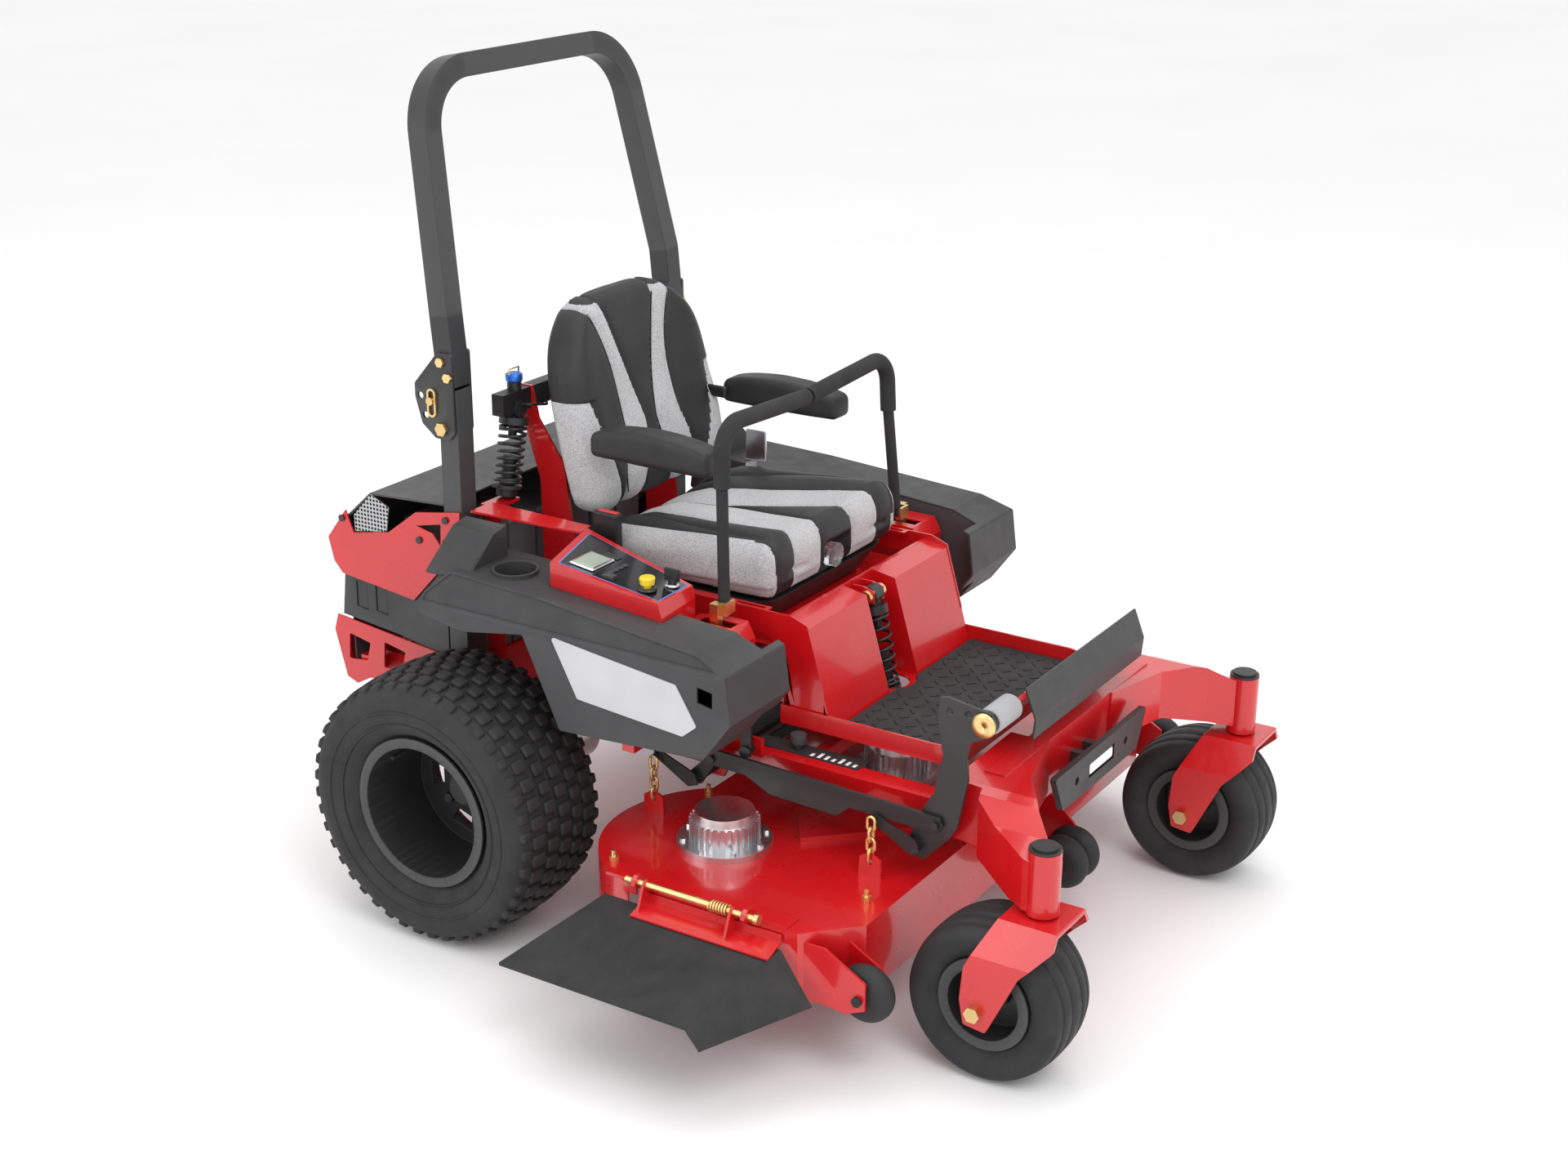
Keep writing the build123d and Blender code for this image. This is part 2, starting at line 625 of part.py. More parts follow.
def lever(side):
    """Control lever with its hub at the foot and a foam grip over the top."""
    hub = rod_y(-545.5, -520, side * 360, 772, 11, 5 + CLEAR)
    hand = (side * 342, -516, 1020)
    shank = cut(straight_bar((side * 359.5, -532, 778), hand, 12.5), rod_y(-560, -500, side * 360, 772, 8))
    shank = fused(hub, shank)
    grip = bent_tube([hand, (side * 336, -512, 1150), (side * 5, -508, 1131)], 62, 18)
    return group(shank, grip)


def straight_bar(start, end, radius):
    with BuildPart() as bar:
        with BuildLine() as path:
            Line(start, end)
        with BuildSketch(Plane(origin=start, z_dir=path.line % 0)):
            Circle(radius)
        sweep()
    return bar.part


for side, word in ((-1, "right"), (1, "left")):
    keep(f"lever_strut_{word}", lever_strut(side))
    keep(f"control_lever_{word}", lever(side))

# ---- suspended platform ------------------------------------------------------------------
SEAT_DECK = 684.0


def platform():
    """Floor pan with a raised lip, seat box with arched side walls, and the rear uprights."""
    pan = flat_plate([(-PAN_HALF_WIDTH, -640), (PAN_HALF_WIDTH, -640), (PAN_HALF_WIDTH, -1062),
                      (-PAN_HALF_WIDTH, -1062)], PAN_TOP - 5, 556)
    with BuildPart() as tray:
        add(pan)
        fillet(tray.edges().filter_by(Axis.Z).sort_by(Axis.Y)[:2], 55)
        with BuildSketch(Plane.XY.offset(PAN_TOP)) as floor:
            with Locations((0, -850)):
                Rectangle(2 * PAN_HALF_WIDTH - 10, 416)
            fillet(floor.vertices().sort_by(Axis.Y)[:2], 50)
        extrude(amount=60, mode=Mode.SUBTRACT)
        with Locations((0, -726, PAN_TOP)):
            Cylinder(46, 60, mode=Mode.SUBTRACT)
    pieces = [tray.part]
    wall = [(-742, 516), (-742, 600), (-700, 742), (-660, 757), (-130, 757), (-60, 700), (-60, 640),
            (-640, 640), (-670, 516)]
    arch = [(-672, 560), (-652, 660), (-600, 704), (-300, 716), (-300, 650), (-640, 641)]
    for side in (-1, 1):
        low, high = sorted((side * 300, side * 304))
        pieces.append(cut(side_plate(wall, low, high), side_plate(arch, low - 1, high + 1)))
        # front panels either side of the suspension unit, one leaning bend each
        panel = side_plate([(-764, 520), (-700, 735), (-640, 745), (-640, 740), (-697, 731), (-759, 520)],
                           *sorted((side * 62, side * 304)))
        pieces.append(panel)
        pieces.append(side_plate([(-764, 520), (-700, 735), (-640, 745), (-640, 520)],
                                 *sorted((side * 62, side * 66))))
        pieces.append(block(side * 280, side * 304, -600, -260, 753, 757))
        # uprights behind the seat
        pieces.append(side_plate([(-62, 640), (60, 640), (66, 900), (118, 1060), (118, 1112), (82, 1112),
                                  (66, 1040), (0, 944), (-28, 760)], *sorted((side * 196, side * 202))))
        # arms that reach the front suspension eye
        pieces.append(side_plate([(-638, 690), (-638, 735), (-668, 735), (-696, 728), (-696, 700), (-668, 692)],
                                 *sorted((side * 17, side * 22))))
        pieces.append(block(side * 170, side * 190, -540, -130, SEAT_DECK, 689.6))
    pieces.append(block(-304, 304, -640, -60, SEAT_DECK - 4, SEAT_DECK))
    pieces.append(block(-304, 304, -644, -636, 560, 745))
    pieces.append(block(-304, 304, -64, -60, 640, SEAT_DECK))
    # slope up to the foot rest
    pieces.append(side_plate([(-1056, 516), (-1062, 560), (-1176, 690), (-1180, 690), (-1184, 684), (-1068, 552),
                              (-1062, 515)], -258, 258))
    body = fused(*pieces)
    slots = [block(side * 286, side * 296, -590, -520, 750, 760) for side in (-1, 1)]
    gap = block(-58, 58, -760, -641, 525, 760)
    eye = rod_x(-30, 30, -680, 714, 8 + CLEAR)
    return cut(body, *slots, cut(gap, block(-23, 23, -760, -641, 690, 760)), eye)


keep("platform", platform())

mat = flat_plate([(-300, -770), (300, -770), (300, -1050), (-300, -1050)], PAN_TOP + 0.2, PAN_TOP + 7)
with BuildPart() as floor_mat:
    add(mat)
    fillet(floor_mat.edges().filter_by(Axis.Z).sort_by(Axis.Y)[:2], 45)
    with Locations((0, -726, PAN_TOP)):
        Cylinder(62, 40, mode=Mode.SUBTRACT)
keep("floor_mat", floor_mat.part)

footrest = side_plate([(-1184, 700), (-1208, 640), (-1204, 596), (-1200, 596), (-1204, 640), (-1180, 700)],
                      -262, 262)
keep("footrest", footrest)

# ---- suspension units ----------------------------------------------------------------------
FRONT_EYE, FRONT_BASE = (0, -680, 714), (0, -731, 478.5)
REAR_EYES = [((s * 240, 100, 1067), (s * 283, 100, 875.5)) for s in (-1, 1)]


def between(a, b, t):
    return tuple(p + (q - p) * t for p, q in zip(a, b))


def coil(base, eye, low, high, radius, wire, turns):
    """A coil spring between two heights of a leaning suspension unit."""
    start, end = between(base, eye, low), between(base, eye, high)
    axis = Vector(*end) - Vector(*start)
    with BuildPart() as spring:
        with BuildLine() as path:
            Helix(pitch=axis.length / turns, height=axis.length, radius=radius, center=start,
                  direction=axis.normalized())
        with BuildSketch(Plane(origin=path.line @ 0, z_dir=path.line % 0)):
            Circle(wire)
        sweep(is_frenet=True)
    return spring.part


def lower_unit(base, eye, tube_r, perch_r):
    """Foot, lower spring perch and damper tube."""
    return fused(straight_bar(base, between(base, eye, 0.10), perch_r * 0.7),
                 straight_bar(between(base, eye, 0.09), between(base, eye, 0.13), perch_r),
                 straight_bar(between(base, eye, 0.12), between(base, eye, 0.46), tube_r))


def upper_unit(base, eye, tube_r, perch_r):
    """Upper perch, damper rod and neck below the eye."""
    return fused(straight_bar(between(base, eye, 0.90), between(base, eye, 0.82), perch_r),
                 straight_bar(between(base, eye, 0.83), between(base, eye, 0.68), tube_r * 0.7),
                 straight_bar(between(base, eye, 0.89), between(base, eye, 0.97), tube_r))


keep("front_spring", coil(FRONT_BASE, FRONT_EYE, 0.155, 0.795, 24, 3.5, 8))
rear_coils = [coil(base, eye, 0.165, 0.785, 28, 3.8, 9) for eye, base in REAR_EYES]
keep("rear_springs", group(*rear_coils))
keep("shock_bodies", group(lower_unit(FRONT_BASE, FRONT_EYE, 15, 28),
                           *[lower_unit(base, eye, 16, 33) for eye, base in REAR_EYES]))

front_eye = fused(rod_x(-16, 16, -680, 714, 20), upper_unit(FRONT_BASE, FRONT_EYE, 14, 28))
front_eye = cut(front_eye, rod_x(-30, 30, -680, 714, 8 + CLEAR))
front_pin = fused(rod_x(-26, 26, -680, 714, 8), rod_x(-34, -23, -680, 714, 15), rod_x(23, 34, -680, 714, 15))
bar = fused(block(-300, 300, 84, 116, 1062, 1110),
            *[fused(upper_unit(base, eye, 14, 33), rod_y(82, 118, eye[0], eye[2], 20)) for eye, base in REAR_EYES],
            *[rod_z(1105, 1128, eye[0], 100, 16) for eye, base in REAR_EYES])
bar = cut(bar, block(-202.4, -195.6, 60, 140, 1040, 1130), block(195.6, 202.4, 60, 140, 1040, 1130))
cable = bent_tube([(-236, 84, 1078), (-236, 62, 1080), (-190, 50, 1072), (-150, 84, 1066)], 12, 3)
keep("shock_rods", group(front_eye, front_pin, bar, cable))

# ---- seat ------------------------------------------------------------------------------------
with BuildPart() as seat_pan:
    with BuildSketch(Plane.XY.offset(690)):
        with Locations((0, -330)):
            RectangleRounded(420, 420, 60)
    with BuildSketch(Plane.XY.offset(747)):
        with Locations((0, -340)):
            RectangleRounded(516, 466, 60)
    loft()
    with BuildSketch(Plane.XY.offset(700)):
        with Locations((0, -330)):
            RectangleRounded(404, 404, 50)
    extrude(amount=50, mode=Mode.SUBTRACT)
keep("seat_pan", seat_pan.part)

with BuildPart() as cushion:
    with BuildSketch(Plane.YZ.offset(-268)) as side_view:
        with BuildLine():
            Polyline((-100, 748), (-100, 838), (-200, 842), (-420, 862), (-556, 878), (-588, 860), (-592, 775),
                     (-572, 748), close=True)
        make_face()
    extrude(amount=536)
    fillet(cushion.edges().filter_by(Axis.X).sort_by(Axis.Y)[:3], 14)
    fillet(cushion.edges().filter_by(Axis.Z), 40)
    with BuildSketch(Plane.XZ.offset(530)):
        with Locations((0, 786)):
            RectangleRounded(96, 76, 30)
    extrude(amount=80, mode=Mode.SUBTRACT)
keep("seat_cushion", cushion.part)

with BuildPart() as knob:
    with BuildSketch(Plane.XZ.offset(531)):
        with Locations((0, 786)):
            Circle(9)
    extrude(amount=40)
    with BuildSketch(Plane.XZ.offset(566)):
        with Locations((0, 786)):
            Circle(27)
            with PolarLocations(30, 8):
                Circle(5, mode=Mode.SUBTRACT)
    extrude(amount=24)
keep("seat_knob", knob.part)


def backrest():
    """Backrest that leans back and narrows to its top, with a bracket for each armrest."""
    levels = ((856, 244, -86, 96), (960, 256, -72, 104), (1120, 254, -38, 104), (1240, 210, -10, 100),
              (1304, 132, 6, 84))
    with BuildPart() as back:
        for z, half, y, thick in levels:
            with BuildSketch(Plane.XY.offset(z)):
                with Locations((0, y)):
                    RectangleRounded(2 * half, thick, thick * 0.38)
        loft()
    brackets = [block(s * 210, s * 218, -162, -60, 1022, 1050) for s in (-1, 1)]
    pins = [rod_x(s * 217, s * 262, -150, 1037, 8) for s in (-1, 1)]
    return fused(back.part, *brackets, *pins)


keep("seat_backrest", backrest())


def armrest(side):
    """D-shaped arm pad, rounded along its top."""
    pad = side_plate([(-136, 1010), (-136, 1052), (-156, 1062), (-300, 1074), (-420, 1066), (-446, 1040),
                      (-446, 1010)], *sorted((side * 224, side * 290)), corner=8)
    return cut(pad, rod_x(side * 216, side * 264, -150, 1037, 8 + CLEAR))


keep("armrest_right", armrest(-1))
keep("armrest_left", armrest(1))

buckle = fused(block(-300, -276, -215, -150, 800, 892, 6), block(-292, -284, -180, -160, 700, 801),
               block(-292, -224, -180, -160, 700, 706))
latch = fused(block(277, 285, -225, -170, 860, 935, 3), block(277, 283, -200, -170, 700, 861),
              block(224, 283, -200, -170, 700, 706))
keep("seat_belt", group(buckle, latch))

# ---- mowing deck --------------------------------------------------------------------------------
def deck_outline(grow):
    """Plan of the deck: three cutter chambers joined behind a straight front."""
    with BuildSketch(Plane.XY) as plan:
        for x, y, r in ((-SPINDLE_X, SPINDLE_Y, 262), (SPINDLE_X, SPINDLE_Y, 262), (0, CENTRE_SPINDLE_Y, 300)):
            with Locations((x, y)):
                Circle(r + grow)
        with BuildLine():
            Polyline((-DECK_HALF_WIDTH - grow, SPINDLE_Y), (-DECK_HALF_WIDTH - grow, -955),
                     (-645, -1050 - grow), (645, -1050 - grow), (DECK_HALF_WIDTH + grow, -955),
                     (DECK_HALF_WIDTH + grow, SPINDLE_Y), (500, -460), (-500, -460), close=True)
        make_face()
        with BuildLine():
            Polyline((-DECK_HALF_WIDTH - grow - 60, SPINDLE_Y + 40), (-DECK_HALF_WIDTH - grow, SPINDLE_Y + 40),
                     (-DECK_HALF_WIDTH - grow, -1100), (-DECK_HALF_WIDTH - grow - 60, -1100), close=True)
        make_face(mode=Mode.SUBTRACT)
        with BuildLine():
            Polyline((DECK_HALF_WIDTH + grow + 60, SPINDLE_Y + 40), (DECK_HALF_WIDTH + grow, SPINDLE_Y + 40),
                     (DECK_HALF_WIDTH + grow, -1100), (DECK_HALF_WIDTH + grow + 60, -1100), close=True)
        make_face(mode=Mode.SUBTRACT)
    return plan.sketch


ROLLERS = {"right": (-700, -1085), "left": (700, -1085)}
ROLLER_R, ROLLER_Z, ROLLER_HALF = 60.0, 200.0, 24.0


def roller_bracket(side):
    """Two ears off the deck's front corner that hold an anti-scalp wheel."""
    x, y = side * 700, -1085
    ear = [(-960, 290), (-960, 170), (-1060, 164), (y - 16, 182), (y - 16, 240), (-1010, 290)]
    return [side_plate(ear, x + s * 33 - 3, x + s * 33 + 3, holes=((y, ROLLER_Z, 8 + CLEAR),)) for s in (-1, 1)]


CENTRE_ROLLER_Y, CENTRE_ROLLER_Z = -1160.0, 196.0


def centre_bracket():
    ear = [(-1046, 300), (-1046, 180), (-1130, 176), (CENTRE_ROLLER_Y - 16, 182), (CENTRE_ROLLER_Y - 16, 214),
           (-1090, 300)]
    return [side_plate(ear, x - 3, x + 3, holes=((CENTRE_ROLLER_Y, CENTRE_ROLLER_Z, 8 + CLEAR),))
            for x in (-28, 94)]


def chain_foot(side, y):
    """Upright channel on the deck that a lift chain hooks to."""
    return side_plate([(y - 26, 306), (y + 26, 306), (y + 24, 350), (y + 12, 358), (y - 12, 358), (y - 24, 350)],
                      *sorted((side * (CHAIN_X - 3), side * (CHAIN_X + 3))), holes=((y, 343, 6.5),))


FRONT_CHAIN_Y = LIFT_PIVOT[0] + 86.1
REAR_CHAIN_Y = REAR_LIFT_PIVOT[0] + 86.1


HINGE_X, HINGE_Z, HINGE_R = -757.0, 322.0, 7.0


def hinge_ear(y):
    """Ear on the deck's edge that holds the chute's hinge rod."""
    ear = front_plate([(-720, 309), (-720, 316), (-745, 334), (-757, 336), (-769, 331), (-771, 318), (-763, 309),
                       (-745, 307)], y, y + 10)
    return cut(ear, rod_y(y - 5, y + 15, HINGE_X, HINGE_Z, HINGE_R + CLEAR))


def deck():
    top = extrude(Pos(0, 0, DECK_LOW) * deck_outline(0), amount=DECK_TOP - DECK_LOW)
    hollow = extrude(Pos(0, 0, DECK_LOW - 1) * deck_outline(-5), amount=DECK_TOP - DECK_LOW - 4)
    with BuildPart() as shell:
        add(top)
        add(hollow, mode=Mode.SUBTRACT)
        for x, y in ((-SPINDLE_X, SPINDLE_Y), (SPINDLE_X, SPINDLE_Y), (0, CENTRE_SPINDLE_Y)):
            add(rod_z(280, 320, x, y, 16 + CLEAR), mode=Mode.SUBTRACT)
        # side discharge
        add(block(-760, -720, -900, -560, 150, 292), mode=Mode.SUBTRACT)
        # raised tunnel across the top towards the centre cutter
        add(flat_plate([(-420, -760), (-330, -700), (-90, -900), (-90, -1030), (-150, -1030)], 309, 322))
        # reinforced edge over the discharge
        add(block(-745, -700, -930, -500, 309, 316))
        for y in (-590, -850):
            add(hinge_ear(y))
        for side in (-1, 1):
            for ear in roller_bracket(side):
                add(ear)
            for y in (FRONT_CHAIN_Y, REAR_CHAIN_Y):
                add(chain_foot(side, y))
        for ear in centre_bracket():
            add(ear)
    return shell.part


keep("deck_shell", deck())


def deck_motor(x, y):
    """Finned cutter motor with a bolted flange."""
    with BuildPart() as motor:
        with BuildSketch(Plane.XY.offset(DECK_TOP)):
            with Locations((x, y)):
                Circle(100)
        extrude(amount=14)
        with BuildSketch(Plane.XY.offset(DECK_TOP + 14)):
            with Locations((x, y)):
                Circle(66)
                with PolarLocations(68, 30):
                    Rectangle(12, 5)
        extrude(amount=46)
        with BuildSketch(Plane.XY.offset(DECK_TOP + 60)):
            with Locations((x, y)):
                Circle(64)
        extrude(amount=18, taper=6)
        with BuildSketch(Plane.XY.offset(DECK_TOP - 1)):
            with Locations((x, y)):
                Circle(16 + CLEAR)
        extrude(amount=40, mode=Mode.SUBTRACT)
        with BuildSketch(Plane.XY.offset(DECK_TOP + 14)):
            with Locations((x, y)):
                with PolarLocations(88, 8):
                    RegularPolygon(7, 6)
        extrude(amount=6)
    return motor.part


keep("deck_motors", group(*[deck_motor(x, y) for x, y in
                            ((-SPINDLE_X, SPINDLE_Y), (0, CENTRE_SPINDLE_Y), (SPINDLE_X, SPINDLE_Y))]))


def blade(x, y):
    """Cutter bar with raised sails, its hub and the spindle that runs up into the motor."""
    with BuildPart() as cutter:
        with BuildSketch(Plane.XY.offset(172)):
            with Locations((x, y)):
                Rectangle(2 * BLADE_R, 62)
        extrude(amount=6)
        with BuildSketch(Plane.XY.offset(177)):
            for end in (-1, 1):
                with Locations((x + end * (BLADE_R - 50), y + end * 26)):
                    Rectangle(100, 8)
        extrude(amount=16)
        with BuildSketch(Plane.XY.offset(177)):
            with Locations((x, y)):
                Circle(32)
        extrude(amount=60)
        with BuildSketch(Plane.XY.offset(236)):
            with Locations((x, y)):
                Circle(16)
        extrude(amount=110)
        add(hex_z(160, 173, x, y, 30))
    return cutter.part


keep("blade_right", blade(-SPINDLE_X, SPINDLE_Y))
keep("blade_centre", blade(0, CENTRE_SPINDLE_Y))
keep("blade_left", blade(SPINDLE_X, SPINDLE_Y))

# ---- discharge chute -------------------------------------------------------------------------------
CHUTE_T = 6.0


def chute():
    """Flap with a turned-down front wing, and the hinge plate bolted on top of it."""
    flap = front_plate([(-762, 276), (-1000, 206), (-1000, 200), (-762, 270)], -930, -425)
    trim = flat_plate([(-755, -512), (-1001, -424), (-1001, -868), (-755, -930)], 150, 330)
    flap = common(flap, trim)
    corner, outer = Vector(-762, -926, 275), Vector(-1000, -864, 205)
    along = (outer - corner).normalized()
    normal = along.cross(Vector(-18, -84, -91)).normalized()
    down = normal.cross(along)
    edge = [(point - corner) for point in (corner, outer, Vector(-1000, -896, 161), Vector(-780, -1010, 184))]
    with BuildPart() as wing:
        with BuildSketch(Plane(origin=corner, x_dir=along, z_dir=normal)):
            with BuildLine():
                Polyline(*[(step.dot(along), step.dot(down)) for step in edge], close=True)
            make_face()
        extrude(amount=CHUTE_T / 2, both=True)
    plate = front_plate([(-748, 286), (-800, 271), (-800, 267), (-748, 282)], -922, -598)
    plate = fused(plate, block(-752, -748, -922, -598, 283, 300))
    lug = [(-790, 272), (-769, 324), (-757, 333), (-746.5, 322), (-752, 300), (-752, 283)]
    lugs = [cut(front_plate(lug, y - 3, y + 3), rod_y(-900, -500, HINGE_X, HINGE_Z, HINGE_R + CLEAR))
            for y in (-608, -814)]
    return group(fused(flap, wing.part), fused(plate, *lugs))


keep("discharge_chute", chute())

# ---- chains, hinge rod, spring and nuts on the deck -----------------------------------------------------
LINK_IN, LINK_WIRE = 24.0, 3.2


def chain_link(turned):
    """One oval link, centred on the origin and standing up."""
    half = LINK_IN / 2 + LINK_WIRE
    width = 8.6
    plane = Plane.YZ if turned else Plane.XZ
    with BuildPart() as link:
        with BuildLine(plane):
            flank = Line((width, -(half - width)), (width, half - width))
            over = ThreePointArc(flank @ 1, (0, half), (-width, half - width))
            back = Line(over @ 1, (-width, -(half - width)))
            ThreePointArc(back @ 1, (0, -half), flank @ 0)
        with BuildSketch(Plane(origin=flank @ 0, z_dir=(0, 0, 1))):
            Circle(LINK_WIRE)
        sweep()
    return link.part


def chain(side, y):
    pitch = LINK_IN - 0.4
    return [Pos(side * CHAIN_X, y, 356 + i * pitch) * chain_link(i % 2 == 1) for i in range(4)]


hinge_rod = fused(rod_y(-872, -560, HINGE_X, HINGE_Z, HINGE_R), rod_y(-876, -866, HINGE_X, HINGE_Z, 11))
with BuildPart() as torsion:
    with BuildLine() as path:
        Helix(pitch=6.4, height=44, radius=10.2, center=(HINGE_X, -806, HINGE_Z), direction=(0, 1, 0))
    with BuildSketch(Plane(origin=path.line @ 0, z_dir=path.line % 0)):
        Circle(2.2)
    sweep(is_frenet=True)
nuts = [fused(hex_z(310.2, 322, x, y, 17), rod_z(310.2, 334, x, y, 5))
        for x, y in ((-690, -480), (-560, -1000), (560, -1000), (690, -480), (-330, -470), (330, -470))]
chains = [link for side in (-1, 1) for y in (FRONT_CHAIN_Y, REAR_CHAIN_Y) for link in chain(side, y)]
keep("deck_hardware", group(*chains, hinge_rod, torsion.part, *nuts))


# ---- anti-scalp wheels ------------------------------------------------------------------------------------
def roller(x, y, z, half):
    """Rounded wheel on its own axle pin, which turns in the bracket ears."""
    with BuildPart() as wheel:
        with BuildSketch(along_x(x, y, z)):
            with BuildLine():
                arc = ThreePointArc((-half, ROLLER_R * 0.55), (0, ROLLER_R), (half, ROLLER_R * 0.55))
                Polyline(arc @ 1, (half, 8), (-half, 8), arc @ 0)
            make_face()
        revolve(axis=Axis((x, y, z), (1, 0, 0)))
    return wheel.part


def roller_axle(x_low, x_high, y, z):
    return fused(rod_x(x_low, x_high, y, z, 8), hex_x(x_low - 7, x_low + 0.1, y, z, 19),
                 hex_x(x_high - 0.1, x_high + 7, y, z, 19))


for word, (x, y) in ROLLERS.items():
    keep(f"anti_scalp_{word}", fused(roller(x, y, ROLLER_Z, ROLLER_HALF), roller_axle(x - 37, x + 37, y, ROLLER_Z)))
centre_wheels = [roller(x, CENTRE_ROLLER_Y, CENTRE_ROLLER_Z, ROLLER_HALF) for x in (5, 61)]
keep("anti_scalp_centre", fused(*centre_wheels, roller_axle(-32, 98, CENTRE_ROLLER_Y, CENTRE_ROLLER_Z)))

# ---- deck lift ---------------------------------------------------------------------------------------------
def arm_outline(pivot, tip):
    """A slim lever from a shaft to a chain or a link pin, in (y, z)."""
    length = Vector(tip[0] - pivot[0], tip[1] - pivot[1]).length
    uy, uz = (tip[0] - pivot[0]) / length, (tip[1] - pivot[1]) / length
    broad, slim = 18, 10
    corners = ((pivot, 0, broad), (pivot, -broad, 0), (pivot, 0, -broad), (tip, 0, -slim), (tip, slim, 0),
               (tip, 0, slim))
    return [(y + uy * along - uz * aside, z + uz * along + uy * aside) for (y, z), along, aside in corners]


def lift_arms(pivot):
    tip = (pivot[0] + 86.1, pivot[1] + 40.1)
    arms = []
    for side in (-1, 1):
        low, high = sorted((side * 447, side * 452))
        arms.append(side_plate(arm_outline(pivot, tip), low, high))
        arms.append(rod_x(side * 451, side * 460, *tip, 5))
        arms.append(rod_x(side * 340, side * 452, *pivot, 12))
    arms.append(rod_x(-341, 341, *pivot, 12))
    return arms


pedal_plate = side_plate([(-1084, 722), (-1100, 726), (-1196, 712), (-1206, 690), (-1196, 664), (-1150, 640),
                          (-1146, 604), (-1150, 560), (-1130, 452), (-1108, 418), (-1060, 366), (-1034, 366),
                          (-1018, 388), (-1050, 470), (-1078, 520), (-1094, 600), (-1080, 680)],
                         -436, -428, holes=((-1107, 698, 8), (-1147, 700, 8), (*LINK_PIN, 6 + CLEAR)))
pedal_tube = rod_x(-428, -330, -1183, 688, 22)
pedal_boss = rod_x(-428, -452, *LIFT_PIVOT, 14)
keep("lift_pedal", fused(pedal_plate, pedal_tube, pedal_boss, *lift_arms(LIFT_PIVOT)))

REAR_LINK_PIN = (LINK_PIN[0] - LIFT_PIVOT[0] + REAR_LIFT_PIVOT[0], LINK_PIN[1] - LIFT_PIVOT[1] + REAR_LIFT_PIVOT[1])
crank = side_plate(arm_outline(REAR_LIFT_PIVOT, (REAR_LINK_PIN[0], REAR_LINK_PIN[1])), -436, -428,
                   holes=((*REAR_LINK_PIN, 6 + CLEAR),))
crank_boss = rod_x(-428, -447, *REAR_LIFT_PIVOT, 12)
keep("rear_lift_shaft", fused(crank, crank_boss, *lift_arms(REAR_LIFT_PIVOT)))

link_bar = side_plate([(-1104, 452), (-1096, 470), (-560, 484), (-545, 476), (-542, 460), (-552, 448),
                       (-640, 446), (-700, 418), (-860, 412), (-890, 438), (-1090, 434)], -446, -438, corner=3)
link_pins = [fused(rod_x(-450, -426, y, z, 6), rod_x(-453, -445, y, z, 9)) for y, z in (LINK_PIN, REAR_LINK_PIN)]
keep("lift_link", fused(link_bar, *link_pins))

# ---- parking brake lever and cutting-height dial --------------------------------------------------------------
brake_plate = side_plate([(-640, 500), (-640, 560), (-616, 560), (-614, 500), (-618, 476), (-636, 476)], -424, -416,
                         holes=((-627, 488, 8 + CLEAR),))
brake_grip = block(-434, -406, -644, -612, 540, 645, 12)
keep("parking_brake", fused(brake_plate, brake_grip))

dial_plate = flat_plate([(-314, -610), (-360, -603), (-360, -858), (-314, -858)], 478.1, 481)
DIAL_X, DIAL_Y = -334.0, -700.0
keep("height_dial", fused(rod_z(481.3, 494, DIAL_X, DIAL_Y, 10), rod_z(492, 512, DIAL_X, DIAL_Y, 17)))

# ---- bolts on the chassis --------------------------------------------------------------------------------------
pivot_bolts = []
for side in (-1, 1):
    out, inn = side * (POST_X + 32.5), side * (POST_X - 32.5)
    pivot_bolts.append(fused(rod_x(out, inn, HOOP_PIVOT_Y, HOOP_PIVOT_Z, 9),
                             hex_x(out, out + side * 9, HOOP_PIVOT_Y, HOOP_PIVOT_Z, 27),
                             hex_x(inn - side * 9, inn, HOOP_PIVOT_Y, HOOP_PIVOT_Z, 27)))
guard_bolts = [rod_x(side * (GUARD_X - 4.8), side * (GUARD_X + 4), y, z, 3.8)
               for side in (-1, 1) for y, z in ((150, 850), (150, 800), (228, 790), (455, 800))]
guard_heads = [rod_x(side * (GUARD_X + 0.2), side * (GUARD_X + 4.5), y, z, 8)
               for side in (-1, 1) for y, z in ((150, 850), (150, 800), (228, 790), (455, 800))]
guard_bolts = [fused(shank, head) for shank, head in zip(guard_bolts, guard_heads)]
brake_pins = [fused(rod_x(-426, -399.8, -627, 488, 8), rod_x(-430, -425, -627, 488, 13))]
stem_caps = [fused(rod_z(498.2, 503, side * CASTER_X, STEM_Y, 32), rod_z(503, 508, side * CASTER_X, STEM_Y, 26))
             for side in (-1, 1)]
keep("chassis_fittings", group(*pivot_bolts, *guard_bolts, *brake_pins, *stem_caps, dial_plate))

# ---- export about the middle of the machine ----------------------------------------------------------------------
boxes = [part.bounding_box() for part in nodes.values()]
MIDDLE = Vector((min(b.min.X for b in boxes) + max(b.max.X for b in boxes)) / 2,
                (min(b.min.Y for b in boxes) + max(b.max.Y for b in boxes)) / 2,
                min(b.min.Z for b in boxes))

for name, part in nodes.items():
    placed = part.moved(Location(-MIDDLE))
    placed.label = name
    export_step(placed, f"parts/{name}.step")
print("nodes", len(nodes), "origin in vehicle frame", MIDDLE)
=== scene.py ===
"""The zero turn mower's looks: materials, tyres, springs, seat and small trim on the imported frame."""
import json
import math

import bmesh
import bpy
from mathutils import Matrix, Vector, noise

